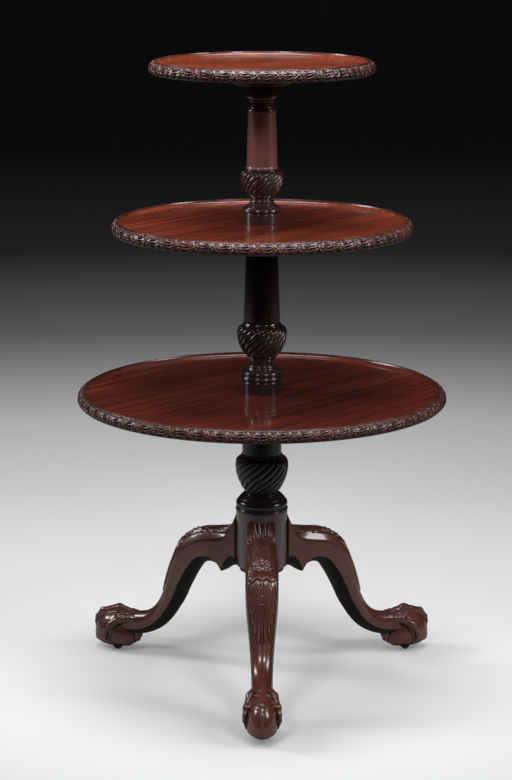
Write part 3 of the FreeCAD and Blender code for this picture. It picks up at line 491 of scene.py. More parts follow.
def rim_relief(x, y, length):
    """Height of the running leafage, from 0 on the ground to 1: flowers with leaves spreading from them."""
    height = np.zeros(x.shape)
    for lap in (0, 1):
        ahead = x - lap * length
        away, angle = np.hypot(ahead, y), np.arctan2(y, ahead)
        petals = 0.25 + 0.75 * np.abs(np.cos(PETALS / 2 * angle)) ** 0.7
        petals = dome(away - PETAL_RING, PETAL_HALF) * petals
        height = np.maximum(height, np.maximum(0.9 * petals, dome(away, FLOWER_HEART)))
        for hand in (-1, 1):
            for path, half in SPRAY:
                height = np.maximum(height, blade(ahead * hand, y * hand, path, half))
    return height


def carved_rim(radius, count, paint):
    """Ring of carved leafage on the nose of a tray, closed behind."""
    head = radius - RIM_WIDTH
    foot = radius - UNDER_SETBACK
    path = np.array(with_arcs([(foot, -RIM_DROP), (radius, NOSE, QUARTER_ROUND),
                               (head, RIM_HEAD, QUARTER_ROUND)]))
    run = lengths_along(path)
    reach = np.linspace(0, run[-1], RIM_ROWS)
    outline = np.stack([np.interp(reach, run, path[:, 0]), np.interp(reach, run, path[:, 1])], -1)
    slope = np.gradient(outline, axis=0)
    normal = np.stack([slope[:, 1], -slope[:, 0]], -1) / np.linalg.norm(slope, axis=1)[:, None]
    length = TURN * radius / count
    share = np.linspace(0, 1, MOTIF_COLUMNS + 1)
    x, across = np.meshgrid(share * length, reach - run[-1] / 2)
    height = rim_relief(x, across, length)
    edge = run[-1] / 2 - np.abs(across)
    height = np.maximum(height, 1 - smooth_step(edge, *EDGE_FILLET))
    sunk = outline[:, None, :] - normal[:, None, :] * (RIM_CUT * (1 - height))[..., None]
    behind = np.array([[head - 1.0, RIM_HEAD - 3.5], [foot - 5.0, 1.5]])
    rows = np.concatenate([sunk, np.broadcast_to(behind[:, None, :], (2, len(share), 2))])
    # The carving height goes on as the carving tone: the sunk ground between the leaves gets painted shade
    depth = np.concatenate([height, np.ones((2, len(share)))])
    angle = share * TURN / count
    points = np.stack([rows[..., 0] * np.cos(angle), rows[..., 0] * np.sin(angle), rows[..., 1]], -1)
    motif = Shape(points, grid_faces(len(rows), len(share), over=True), depth)
    return round_the_axis(motif, count, paint, finish=1)


def tray(tier):
    sizes = TRAYS[tier]
    radius, bore = sizes["radius"], sizes["bore"]
    head = radius - RIM_WIDTH
    board = [
        (bore, 0),
        (radius - UNDER_SETBACK, 0),
        (radius - UNDER_SETBACK - 2.5, 3.0),
        (head - 0.4, RIM_HEAD - 2.2),
        (head, RIM_HEAD - 0.4),
        (head, RIM_TOP),
        (head - FILLET_WIDTH, RIM_TOP),
        (head - FILLET_WIDTH - COVE_WIDTH, FIELD, COVE),
        (bore, FIELD),
    ]
    shape = turned(board, TRAY_SOFT, TRAY_SEGMENTS)
    # The rim's darker wood reaches 1 mm down the cove from the fillet, a thin painted shadow line at the
    # inner edge
    lip = head - FILLET_WIDTH - 1.0
    reach = np.hypot(shape.points[:, 0], shape.points[:, 1])
    shape.finish = [int(reach[list(face)].mean() > lip) for face in shape.faces]
    shape = shape + carved_rim(radius, sizes["motifs"], rim_wood)
    shape.grain = shape.turned_by(-sizes["grain"]).points
    add_piece(f"{tier}_dished_tray", shape.raised(sizes["under"]), (field_woods[tier], rim_wood),
              f"{tier}_tier", "tray_mahogany", f"{tier}_tray")


for tier in TRAYS:
    tray(tier)


# Bosses under the trays, by height over the floor, bore, radius of the foot and radius of the edge
BOSS_THICKNESS, BOSS_EDGE, SAUCER = 22.0, 5.0, 0.35
BOSSES = {
    "lower": (478.5, 20.05, 37.0, 74.0),
    "middle": (769.9, 17.05, 31.0, 68.0),
    "top": (1036.3, 14.05, 33.0, 62.0),
}
# The bosses take the undersides' painted shade wood
for tier, (height, bore, foot, edge) in BOSSES.items():
    boss = turned([(bore, 0), (foot, 0), (edge, BOSS_THICKNESS - BOSS_EDGE, SAUCER),
                   (edge, BOSS_THICKNESS), (bore, BOSS_THICKNESS)])
    add_piece(f"{tier}_saucer_boss", boss.raised(height), (underside_shade_wood,), f"{tier}_tier",
              "dark_mahogany", f"{tier}_boss")


# Stem
GADROONS = 18
GADROON_SLANT = 1.05
GADROON_DEPTH, GADROON_ROUND, GADROON_SHADE, CORE_GAP = 3.6, 0.99, 0.85, 7
VASE_ROWS, GADROON_COLUMNS = 56, 14
BELLY_AT = 0.77
RING, HOLLOW = 0.4, -0.45


def vase(foot, belly, shoulder, height, fullness, core):
    """Vase of spiral gadroons, closed by a core behind them."""
    share = np.linspace(0, 1, VASE_ROWS)
    above = np.clip((share - BELLY_AT) / (1 - BELLY_AT), 0, 1)
    below = np.clip(share / BELLY_AT, 0, 1)
    radius = np.where(share < BELLY_AT, foot + (belly - foot) * np.sin(math.pi / 2 * below ** fullness),
                      shoulder + (belly - shoulder) * np.sqrt(1 - above ** 2.6))
    depth = GADROON_DEPTH * (0.1 + 0.9 * smooth_step(share, 0, 0.25) * (1 - smooth_step(share, 0.94, 1)))
    across = np.linspace(0, 1, GADROON_COLUMNS + 1)
    fall = 1 - np.sqrt(1 - GADROON_ROUND * (2 * across - 1) ** 2)
    reach = radius[:, None] - depth[:, None] * fall[None]
    twist = GADROON_SLANT * height / (VASE_ROWS - 1) * np.append(0, np.cumsum(1 / radius[1:]))
    angle = twist[:, None] + (across * TURN / GADROONS)[None]
    points = np.stack([reach * np.cos(angle), reach * np.sin(angle),
                       np.broadcast_to((share * height)[:, None], reach.shape)], -1)
    inner = np.stack([core * np.cos(angle), core * np.sin(angle), points[..., 2]], -1)
    points = np.concatenate([points, inner[[-1, 0]]])
    # Painted shade in the gadroons' channels, as a low carving tone
    hollow = np.broadcast_to(1 - GADROON_SHADE * fall[None], reach.shape)
    hollow = np.concatenate([hollow, np.ones((2, len(across)))])
    motif = Shape(points, grid_faces(len(points), len(across), over=True), hollow)
    return round_the_axis(motif, GADROONS, stem_wood)


def stem_piece(name, node, foot, outline, vase_foot, sizes, band=(0, 0), band_wood=stem_wood,
               wood=stem_wood):
    """Turned stem with its vase, and another wood over the band between two heights."""
    shape = turned(outline) + vase(*sizes, sizes[0] - CORE_GAP).raised(vase_foot)
    shape.finish = [int(band[0] < shape.points[list(face), 2].mean() < band[1]) for face in shape.faces]
    add_piece(name, shape.raised(foot), (wood, band_wood), "base", "dark_mahogany", node)


stem_piece("base_turned_pillar", "base_pillar", 206.0, [
    (0, 0), (43.8, 0), (43.8, 80.8), (44.4, 81.4), (44.4, 99.4), (43.8, 100), (43.8, 104.6, 0.6),
    (43.2, 105), (44.0, 105.4), (44.0, 106.6), (43.0, 107), (39.8, 119.6, 0.46), (38.9, 120.0),
    (39.8, 121.0), (29.6, 130.5, 0.1), (28.8, 130.7), (28.8, 131.6, RING), (21, 132), (21, 194),
    (33.2, 194.4), (35.4, 196.0), (35.4, 198.6, RING), (33.7, 199.4), (33.7, 272.5), (20, 272.5),
    (20, 307.9), (13, 307.9), (13, 335.9), (0, 335.9),
], 132.0, (28.4, 45.8, 36.0, 62.0, 0.88), (-1, 99.7), hub_wood)

stem_piece("middle_turned_stem", "middle_stem", 513.9, [
    (0, 28.5), (13.05, 28.5), (13.05, 0), (33.6, 0), (33.6, 19.4), (32.8, 20.2), (32.8, 21.6),
    (34.8, 22.2), (34.8, 29.6, 0.5), (33.4, 30.2), (33.6, 31.0), (32.2, 37.8, 0.42), (30.6, 38.4),
    (25.2, 43.4, -0.2), (24.4, 43.8), (24.2, 47.4, 0.55), (22.8, 48.0), (22.4, 59.4, -0.12), (24.2, 60.4),
    (24.2, 62.4, RING), (17.5, 63), (17.5, 115), (31.6, 115.2), (33.6, 115.8), (33.6, 117.4, RING),
    (31.0, 125, -0.26), (26.5, 256), (17, 256), (17, 291.4), (11, 291.4), (11, 319.4), (0, 319.4),
], 63.0, (25.4, 42.5, 34.4, 52.0, 0.78))

# The top stem's vase and shaft take the lighter, painted light copies of the stem's mahogany
stem_piece("top_turned_stem", "top_stem", 805.3, [
    (0, 28.5), (11.05, 28.5), (11.05, 0), (29.4, 0), (29.4, 16.2), (28.6, 17.0), (28.6, 18.2),
    (31.0, 18.8), (31.0, 25.8, 0.52), (30.4, 26.4), (30.0, 27.2), (20.8, 34.4, -0.08), (19.4, 35.0),
    (19.4, 38.6, 0.55), (17.6, 39.2), (17.4, 42.6, -0.1), (18.8, 43.2), (18.8, 44.6, 0.4), (20.4, 45.2),
    (22.2, 45.8), (22.2, 47.4, RING), (15, 48), (15, 88), (27.2, 88.2), (28.2, 88.8), (28.2, 90.2, RING),
    (27.0, 90.8), (27.6, 91.4), (27.6, 92.8, RING), (25.9, 98.0, -0.2), (23.1, 186), (24.4, 186.6),
    (24.4, 192.0, RING), (21.4, 192.8), (20.6, 194.6), (20.6, 204), (22.4, 205), (22.4, 207),
    (29.0, 212.6, HOLLOW), (30.0, 213), (30.0, 231), (14, 231), (14, 249), (0, 249),
], 48.0, (22.6, 36.6, 29.4, 40.0, 0.78), (93, 186.3), shaft_wood, vase_wood)

hub_cap = turned([(0, 0), (36.6, 0), (38.6, 2.0, QUARTER_ROUND), (38.6, 9), (0, 9)])
add_piece("turned_hub_cap", hub_cap.raised(197.0), (stem_wood,), "base", "dark_mahogany", "hub_cap")


# Legs, each worked out along +X and then turned about the stem
LEG_ANGLES = {"front": -90, "left": 150, "right": 30}
# Reach and height of the crown and of the belly, half width, and how far crown and belly swell
LEG_STATIONS = np.array([
    (40, 301, 40, 200, 25.5, 12, 18), (48, 283, 52, 197, 25.5, 12, 22), (57, 269, 62, 193, 25.5, 12, 15),
    (69, 264, 68, 187.5, 25.8, 12, 2), (82, 262.3, 78, 193.5, 26.5, 12.5, 11),
    (95, 260.8, 93, 197.5, 27.4, 13.5, 14), (115, 258, 107, 196, 28, 15, 14.5),
    (132, 251.5, 118, 189.5, 28, 15.5, 15), (148, 241, 127.5, 177.5, 28, 16, 15),
    (162.5, 225, 136, 164, 27.8, 16, 15), (172, 206, 142, 152.5, 26.8, 16, 15),
    (180.5, 186.5, 147.5, 141.5, 25.4, 15.5, 15), (188.5, 165, 153.5, 128.5, 23.7, 15, 15),
    (195.5, 143, 160, 114.5, 22, 14.5, 14.5), (203, 122, 170, 98.5, 20.4, 14.5, 14),
    (214, 103, 182.5, 80.5, 19, 14.5, 14), (228, 89.5, 201.5, 60, 18.2, 14, 13.5),
    (248, 82, 227, 43.5, 18.2, 14, 13), (270, 78, 254, 36, 18, 14, 12), (288, 73, 276, 36, 17, 12, 10),
])
BELLY_NUMBERS = (2, 3, 6)
CUSP, ANKLE = 3, 15
EDGE_ROUND, SHOULDER_ROUND, SHOULDER_FLAT = 1.6, 6.5, 0.75
CROWN_SHARE, CHEEK_SHARE = 1.35, 0.65
CORNER_STEPS = np.linspace(0, 1, 7)[1:-1]
CROWN_COLUMNS, CHEEK_COLUMNS, BELLY_COLUMNS = 81, 9, 21
FINE_STEP, PLAIN_STEP = 0.8, 2.0
LEAF_END, LEAF_GROUND, BLUR_PASSES = 272.0, 1.4, 8
# Runs along the crown over which the knee's round, the leaf's ground and the painted shade along its border
# come and go
KNEE_IN, KNEE_OUT = (30, 70), (118, 172)
GROUND_IN, GROUND_OUT = (8, 18), (250, 270)
BORDER_SHADE_IN, BORDER_SHADE_OUT = (20, 45), (240, 265)


def spline(knots, values, at):
    """Natural cubic curve through values at knots."""
    gaps = np.diff(knots)
    rises = np.diff(values) / gaps
    count = len(knots)
    system, right = np.eye(count), np.zeros(count)
    for row in range(1, count - 1):
        system[row, row - 1:row + 2] = gaps[row - 1], 2 * (gaps[row - 1] + gaps[row]), gaps[row]
        right[row] = 6 * (rises[row] - rises[row - 1])
    bend = np.linalg.solve(system, right)
    cell = np.clip(np.searchsorted(knots, at, side="right") - 1, 0, count - 2)
    near, far, gap = at - knots[cell], knots[cell + 1] - at, gaps[cell]
    return ((bend[cell] * far ** 3 + bend[cell + 1] * near ** 3) / (6 * gap)
            + (values[cell] / gap - bend[cell] * gap / 6) * far
            + (values[cell + 1] / gap - bend[cell + 1] * gap / 6) * near)


KNOTS = lengths_along((LEG_STATIONS[:, :2] + LEG_STATIONS[:, 2:4]) / 2)


def leg_lines(at):
    """Numbers of the leg's stations at places between them; the belly breaks at the spur's cusp."""
    columns = []
    for index, values in enumerate(LEG_STATIONS.T):
        if index in BELLY_NUMBERS:
            root = spline(KNOTS[:CUSP + 1], values[:CUSP + 1], np.minimum(at, KNOTS[CUSP]))
            rest = spline(KNOTS[CUSP:], values[CUSP:], np.maximum(at, KNOTS[CUSP]))
            columns.append(np.where(at < KNOTS[CUSP], root, rest))
        else:
            columns.append(spline(KNOTS, values, at))
    return np.array(columns)


TRIAL = np.linspace(0, KNOTS[-1], 1500)
CROWN_RUN = np.append(0, np.cumsum(np.hypot(*np.diff(leg_lines(TRIAL)[:2], axis=1))))
ANKLE_RUN = np.interp(KNOTS[ANKLE], TRIAL, CROWN_RUN)


# Blades of the knee's leaves on one side of its crest, as runs along the crown and ways across it
PALMETTE = (
    (((96, 0), (76, 0), (42, 0)), 3.4), (((74, 2), (42, 4.6), (6, 4.8)), 3.8),
    (((72, 5), (44, 12), (8, 12.8)), 4.6), (((74, 8), (52, 18), (24, 19.5)), 5.2),
    (((82, 9), (66, 19), (48, 20)), 5.4), (((96, 8), (90, 17), (74, 19.5)), 4.6),
)
PENDANT = (
    (((157, 0), (205, 0), (264, 0)), 2.0), (((157, 8), (168, 18), (184, 24.5)), 6.0),
    (((158, 5), (182, 15), (206, 21.5)), 6.0), (((168, 4), (198, 12.5), (226, 17)), 5.4),
    (((182, 3.5), (214, 9.5), (243, 12)), 4.6), (((196, 2.5), (232, 6), (258, 5.5)), 3.6),
)
PALMETTE_VEIN, PENDANT_VEIN, PENDANT_DEPTH = 0.22, 0.2, 4.2
ROSETTE_AT, ROSETTE_RADIUS, BUTTON, REED = 121, 15, 4.2, 4.2
LIP_AT, LIP_DEPTH, FRILL_AT, FRILL_WAVE, FAN_FROM = 137, 4.6, 153, 15.5, 106


def knee_relief(u, v):
    """Height of the knee's carving over its ground, by the run along the crown and the way across it."""
    u, side = np.broadcast_arrays(u, np.abs(v))
    height = np.zeros(u.shape)
    palmette_depth = 2.6 + 2.2 * smooth_step(100 - u, 15, 55)
    for path, half in PALMETTE:
        height = np.maximum(height, palmette_depth * blade(u, side, path, half, PALMETTE_VEIN))
    for path, half in PENDANT:
        height = np.maximum(height, PENDANT_DEPTH * blade(u, side, path, half, PENDANT_VEIN))
    reeds = (1.0 + 1.2 * np.abs(np.cos(math.pi * side / REED))) * smooth_step(17 - side, 0, 3)
    height = np.maximum(height, reeds * smooth_step(u, 72, 80) * smooth_step(ROSETTE_AT - 3 - u, 0, 4))
    away, angle = np.hypot(u - ROSETTE_AT, side), np.arctan2(side, u - ROSETTE_AT)
    petals = 0.6 + 3.2 * np.abs(np.cos(4 * angle)) ** 0.7 * np.sin(math.pi * np.clip((away - 4) / 11, 0, 1))
    height = np.where(away < ROSETTE_RADIUS, np.maximum(petals, BUTTON * dome(away, BUTTON)), height)
    frill = FRILL_AT + 2.6 * np.cos(TURN * side / FRILL_WAVE) - 0.006 * side * side
    fan = np.abs(np.cos(7 * np.arctan2(side, u - FAN_FROM)))
    apron = 0.9 + 3.4 * smooth_step(u, LIP_AT - 3, FRILL_AT - 2) + 0.9 * fan
    apron = apron * smooth_step(frill - u, -0.4, 0.9)
    apron = apron * smooth_step(u, LIP_AT - 7, LIP_AT - 3) * smooth_step(25.5 - side, 0, 2)
    height = np.where(u < frill - 0.2, np.maximum(height * (u < LIP_AT - 3), apron), height)
    lip = LIP_DEPTH * ridge(u - (LIP_AT + 1 - 14 * (side / 20) ** 2), 2.0) * smooth_step(22 - side, 0, 3)
    return np.maximum(height, lip)


def blurred(grid):
    for _ in range(BLUR_PASSES):
        padded = np.pad(grid, 1, mode="edge")
        grid = (padded[:-2, 1:-1] + padded[2:, 1:-1] + padded[1:-1, :-2] + padded[1:-1, 2:] + 2 * grid) / 6
    return grid


def leg_shaft():
    """Leg from the hub to inside the ball, in sections that run from the crown over the far cheek."""
    fine = np.arange(0, LEAF_END, FINE_STEP)
    run = np.append(fine, np.arange(LEAF_END, CROWN_RUN[-1], PLAIN_STEP))
    crown_x, crown_z, belly_x, belly_z, half, rise, fall = leg_lines(np.interp(run, CROWN_RUN, TRIAL))
    depth = np.hypot(crown_x - belly_x, crown_z - belly_z)
    across = np.stack([(crown_x - belly_x) / depth, (crown_z - belly_z) / depth], -1)
    swell = SHOULDER_ROUND * smooth_step(run, *KNEE_IN) * (1 - 0.75 * smooth_step(run, *KNEE_OUT))
    shoulder = EDGE_ROUND + swell

    def arc(width, bulge, count, up):
        radius = (width ** 2 + bulge ** 2) / (2 * bulge)
        setback = shoulder * CROWN_SHARE if up else EDGE_ROUND
        limit = np.arcsin(np.clip(width / radius, -1, 1)) - setback / radius
        angle = limit[:, None] * np.linspace(1, -1, count)[None]
        side = radius[:, None] * np.sin(angle)
        drop = radius[:, None] * (1 - np.cos(angle))
        level = depth[:, None] - drop if up else drop
        side = side if up else -side
        facing = np.stack([np.sin(angle), np.cos(angle)] if up else [-np.sin(angle), -np.cos(angle)], -1)
        return np.stack([side, level], -1), facing, radius[:, None] * angle

    crown, crown_facing, crown_across = arc(half, rise, CROWN_COLUMNS, True)
    belly, _, _ = arc(half, fall, BELLY_COLUMNS, False)
    share = np.linspace(0, 1, CHEEK_COLUMNS)[None]
    highest, lowest = depth - rise - shoulder * CHEEK_SHARE, fall + EDGE_ROUND
    level = highest[:, None] * (1 - share) + lowest[:, None] * share
    far = np.stack([np.broadcast_to(-half[:, None], level.shape), level], -1)
    near = np.stack([-far[..., 0], far[..., 1]], -1)[:, ::-1]

    def corner(first, second, peak, flat=0.0):
        steps = CORNER_STEPS[None, :, None]
        first, second, peak = first[:, None], second[:, None], peak[:, None]
        rounded = first * (1 - steps) ** 2 + peak * 2 * steps * (1 - steps) + second * steps ** 2
        return rounded * (1 - flat) + (first * (1 - steps) + second * steps) * flat

    upper, lower = depth - rise, fall
    rings = [
        crown, corner(crown[:, -1], far[:, 0], np.stack([-half, upper], -1), SHOULDER_FLAT),
        far, corner(far[:, -1], belly[:, 0], np.stack([-half, lower], -1)),
        belly, corner(belly[:, -1], near[:, 0], np.stack([half, lower], -1)),
        near, corner(near[:, -1], crown[:, 0], np.stack([half, upper], -1), SHOULDER_FLAT),
    ]
    ring = np.concatenate(rings, 1)
    along_leg = run[:, None]
    ground = LEAF_GROUND * smooth_step(along_leg, *GROUND_IN) * (1 - smooth_step(along_leg, *GROUND_OUT))
    margin = crown_across[:, :1] - np.abs(crown_across)
    relief = knee_relief(along_leg, crown_across) - ground
    relief = relief * smooth_step(along_leg, 4, 10) * smooth_step(margin, 0, 1.6)
    ring[:, :CROWN_COLUMNS] += crown_facing * relief[..., None]
    sunk = 1.2 * smooth_step(run, ANKLE_RUN + 8, ANKLE_RUN + 40)
    centre = np.stack([np.zeros_like(depth), depth / 2], -1)[:, None]
    ring = centre + (ring - centre) * (1 - sunk / half)[:, None, None]
    points = np.empty((*ring.shape[:2], 3))
    points[..., 0] = belly_x[:, None] + across[:, None, 0] * ring[..., 1]
    points[..., 1] = ring[..., 0]
    points[..., 2] = belly_z[:, None] + across[:, None, 1] * ring[..., 1]
    # Carving tone: painted shade in the relief's hollows and a painted highlight on its raised tops, then a
    # strip of painted shade along the crown's carved border
    hollow = np.ones(ring.shape[:2])
    proud = relief - blurred(relief)
    hollow[:, :CROWN_COLUMNS] = 1 + np.clip(proud / 0.5, 0, 1) - np.clip(-proud / 0.4, 0, 1)
    border_shade = dome(margin - 2.5, 3.5) * smooth_step(along_leg, *BORDER_SHADE_IN)
    border_shade = border_shade * (1 - smooth_step(along_leg, *BORDER_SHADE_OUT))
    hollow[:, :CROWN_COLUMNS] -= 0.6 * border_shade * np.clip(hollow[:, :CROWN_COLUMNS], 0, 1)
    grain = np.stack([np.broadcast_to(run[:, None], ring.shape[:2]), ring[..., 0], ring[..., 1]], -1)
    count = ring.shape[1]
    faces = grid_faces(len(run), count, around=True).tolist()
    faces.append(tuple(range(count))[::-1])
    faces.append(tuple((len(run) - 1) * count + column for column in range(count)))
    # The belly's faces take the second finish, the painted shade of the undersides
    ends = np.cumsum([part.shape[1] for part in rings])
    column = np.arange(count)
    below = (column >= ends[2] + len(CORNER_STEPS) // 2) & (column < ends[4] + len(CORNER_STEPS) // 2)
    finish = np.append(np.tile(below, len(run) - 1), [False, False])
    return Shape(points, faces, hollow, finish.astype(int).tolist(), grain)


# Claw-and-ball foot: distances to rounded forms, run together and skinned
BALL = np.array([304.5, 0.0, 27.0])
BALL_HALF = np.array([42.4, 25.5, 43.0])
BALL_FLOOR, CASTOR_AT, RECESS_RADIUS, RECESS_TOP = 17.0, 298.0, 14.1, 25.4
# A low pad under the ball, in the undersides' painted shade wood: it stands for the castor's cup and paints
# the shade under the ball
PAD_HALF, PAD_FLOOR = (33.0, 18.0), 12.0
ARCH_AT, ARCH_HALF = (273, 15), (29, 47)
WEB_BLEND, TOE_BLEND, CLAW_BLEND = 5.0, 2.0, 0.6
# Front of the hood: where it opens, how high, and how that height rises with the reach from a place
OPENING_FROM, OPENING_TOP, OPENING_SLOPE, SLOPE_FROM = 304, 54, 0.25, 302
# Toes and claws in front, at the sides and behind: how much narrower than round, and a chain of
# (reach, side, height, radius)
TOES = (
    (1.25, ((262, 0, 69, 9), (280, 0, 73.5, 8.8), (297, 0, 78, 8.6), (315, 0, 72.5, 6.8),
            (332, 0, 66.5, 7.4), (338, 0, 60, 6.4))),
    (1.1, ((258, 9, 66, 9), (270, 14.5, 66.5, 8.2), (281, 19.5, 65.5, 8.2), (291, 22.8, 59.5, 6.0),
           (300, 25.6, 53, 6.6), (303.5, 26.8, 48, 5.6))),
    (1.0, ((259, 0, 46, 9), (257.5, 0, 36, 8), (259, 0, 27, 6))),
)
CLAWS = (
    (1.5, ((334, 0, 64, 6.4), (343.4, 0, 54.5, 5.6), (346, 0, 45, 4.4), (346, 0, 36, 2.8),
           (344.5, 0, 28.5, 1.2))),
    (1.25, ((301.5, 26.4, 51, 5.8), (307, 28.2, 43.5, 5.0), (309.5, 28.8, 34.5, 4.2), (309, 26.8, 26, 2.6),
            (307.5, 24.6, 20.5, 1.2))),
    (1.2, ((258.5, 0, 32, 5.8), (261, 0, 26, 5.0), (266, 0, 21, 3.4))),
)
TENDON = ((294, 5.4, 82.5, 2.2), (310, 5.4, 77.5, 2.0), (326, 4.0, 72, 2.0))
FOOT_STEP, SLOPE_STEP, CREASE_REACH = 1.1, 0.25, 2.6
PULLS, LARGEST_PULL = 2, 0.5
FOOT_LOW, FOOT_HIGH = np.array([190.0, -37.0, 6.0]), np.array([356.0, 37.0, 118.0])


def run_together(first, second, blend):
    """Union of two distances with the crease between them filled over the blend's width."""
    share = np.clip(0.5 + 0.5 * (second - first) / blend, 0, 1)
    return second + (first - second) * share - blend * share * (1 - share)


def chain_distance(x, y, z, links, narrow=1.0):
    """Distance to a tapering chain, made narrow from side to side."""
    nearest = np.full(np.broadcast(x, y, z).shape, 1e3)
    for (ax, ay, az, first), (bx, by, bz, last) in zip(links, links[1:]):
        px, py, pz = x - ax, (y - ay) * narrow, z - az
        dx, dy, dz = bx - ax, (by - ay) * narrow, bz - az
        share = np.clip((px * dx + py * dy + pz * dz) / (dx * dx + dy * dy + dz * dz), 0, 1)
        away = np.sqrt((px - dx * share) ** 2 + (py - dy * share) ** 2 + (pz - dz * share) ** 2)
        nearest = run_together(nearest, away - (first + (last - first) * share), 2.0)
    return nearest


def nearest_chain(x, y, z, chains):
    return np.minimum.reduce([chain_distance(x, y, z, links, narrow) for narrow, links in chains])


def ball_distance(x, y, z):
    px, py, pz = x - BALL[0], y - BALL[1], z - BALL[2]
    wide, broad, high = BALL_HALF
    near = np.sqrt((px / wide) ** 2 + (py / broad) ** 2 + (pz / high) ** 2)
    far = np.sqrt((px / wide ** 2) ** 2 + (py / broad ** 2) ** 2 + (pz / high ** 2) ** 2) + 1e-9
    return near * (near - 1) / far


SHAFT_TRIAL = np.linspace(KNOTS[ANKLE - 2], KNOTS[-1], 220)
SHAFT_LINES = leg_lines(SHAFT_TRIAL)
SHAFT_RUN = np.interp(SHAFT_TRIAL, TRIAL, CROWN_RUN)


def shaft_places(x, z):
    """Which section of the leg a point lies on, and how high up that section."""
    crown_x, crown_z, belly_x, belly_z = SHAFT_LINES[:4]
    dx, dz = crown_x - belly_x, crown_z - belly_z
    length = np.hypot(dx, dz)
    dx, dz = dx / length, dz / length
    flat_x, flat_z = x.ravel()[:, None], z.ravel()[:, None]
    beyond = (flat_x - belly_x) * dz - (flat_z - belly_z) * dx
    cell = np.argmin(np.abs(beyond), 1)
    here = np.take_along_axis(beyond, cell[:, None], 1)[:, 0]
    after = np.clip(cell + np.where(here > 0, 1, -1), 0, len(dx) - 1)
    there = np.take_along_axis(beyond, after[:, None], 1)[:, 0]
    share = np.clip(here / np.where(np.abs(here - there) < 1e-9, 1, here - there), 0, 1)

    def level_on(section):
        past_x, past_z = flat_x[:, 0] - belly_x[section], flat_z[:, 0] - belly_z[section]
        return past_x * dx[section] + past_z * dz[section]

    level = level_on(cell) * (1 - share) + level_on(after) * share
    lines = (length, *SHAFT_LINES[4:], SHAFT_RUN)
    found = [line[cell] * (1 - share) + line[after] * share for line in lines]
    past_end = beyond[:, -1]
    return [value.reshape(x.shape) for value in (level, *found, past_end)]


def shaft_distance(y, places):
    level, depth, half, rise, fall, run, past_end = places
    over, under = (half ** 2 + rise ** 2) / (2 * rise), (half ** 2 + fall ** 2) / (2 * fall)
    crown = np.hypot(y, level - depth + over) - over
    belly = np.hypot(y, level - under) - under
    away = -run_together(-crown, -belly, 0.5)
    away = -run_together(-away, half - np.abs(y), 1.6)
    away = away + 0.6 * (1 - smooth_step(run, ANKLE_RUN - 6, ANKLE_RUN + 10))
    return np.maximum(np.maximum(away, ANKLE_RUN - 6 - run), past_end)


def foot_distance(x, y, z, places):
    """Distance to the foot's surface, and to its claws."""
    side = np.abs(y)
    ball = ball_distance(x, y, z)
    hood = ball - (0.8 + 2.8 * (1 - smooth_step(x, 296, 314)))
    (arch_x, arch_z), (arch_width, arch_height) = ARCH_AT, ARCH_HALF
    arch = np.sqrt(((x - arch_x) / arch_width) ** 2 + ((z - arch_z) / arch_height) ** 2)
    hood = np.maximum(hood, arch_width * (1 - arch))
    opening = np.maximum(OPENING_FROM - x, z - OPENING_TOP - OPENING_SLOPE * (x - SLOPE_FROM))
    hood = np.maximum(hood, -opening)
    skin = run_together(shaft_distance(y, places), hood, WEB_BLEND)
    toes, claws = nearest_chain(x, side, z, TOES), nearest_chain(x, side, z, CLAWS)
    skin = run_together(skin, toes, TOE_BLEND)
    skin = run_together(skin, chain_distance(x, side, z, TENDON), TOE_BLEND)
    foot = run_together(skin, ball, CLAW_BLEND)
    foot = run_together(foot, claws, CLAW_BLEND)
    foot = np.maximum(foot, BALL_FLOOR - z)
    pad = PAD_HALF[1] * (np.hypot((x - BALL[0]) / PAD_HALF[0], y / PAD_HALF[1]) - 1)
    foot = np.minimum(foot, np.maximum(pad, np.maximum(PAD_FLOOR - z, z - BALL_FLOOR - 2)))
    recess = np.maximum(np.hypot(x - CASTOR_AT, y) - RECESS_RADIUS, z - RECESS_TOP)
    return np.maximum(foot, -recess), claws


def skinned(field, low, step):
    """Points and faces over the zero of a field: one point in each cell that the surface crosses."""
    inside = field < 0
    cells = tuple(size - 1 for size in field.shape)
    total, count = np.zeros((*cells, 3)), np.zeros(cells)
    corners = [(i, j, k) for i in (0, 1) for j in (0, 1) for k in (0, 1)]

    def at(grid, corner):
        return grid[tuple(slice(start, start + size) for start, size in zip(corner, cells))]

    for first in corners:
        for axis in range(3):
            if first[axis]:
                continue
            second = tuple(1 if index == axis else value for index, value in enumerate(first))
            start, end = at(field, first), at(field, second)
            crossed = at(inside, first) != at(inside, second)
            share = np.where(crossed, start / np.where(crossed, start - end, 1), 0)
            for index in range(3):
                total[..., index] += crossed * (share if index == axis else first[index])
            count += crossed
    active = count > 0
    order = np.full(cells, -1)
    order[active] = np.arange(active.sum())
    places = np.argwhere(active) + total[active] / count[active][:, None]
    faces = []
    for axis in range(3):
        one, two = [index for index in range(3) if index != axis]
        start = [slice(1, -1)] * 3
        start[axis] = slice(0, -1)
        end = list(start)
        end[axis] = slice(1, None)
        crossed = inside[tuple(start)] != inside[tuple(end)]
        spots = np.argwhere(crossed)
        spots[:, one] += 1
        spots[:, two] += 1
        outward = inside[tuple(start)][crossed]
        ring = []
        for back_one, back_two in ((1, 1), (0, 1), (0, 0), (1, 0)):
            cell = spots.copy()
            cell[:, one] -= back_one
            cell[:, two] -= back_two
            ring.append(order[tuple(cell.T)])
        ring = np.stack(ring, -1)
        flip = outward if axis == 1 else ~outward
        ring[flip] = ring[flip][:, ::-1]
        faces.append(ring)
    return low + places * step, np.concatenate(faces)


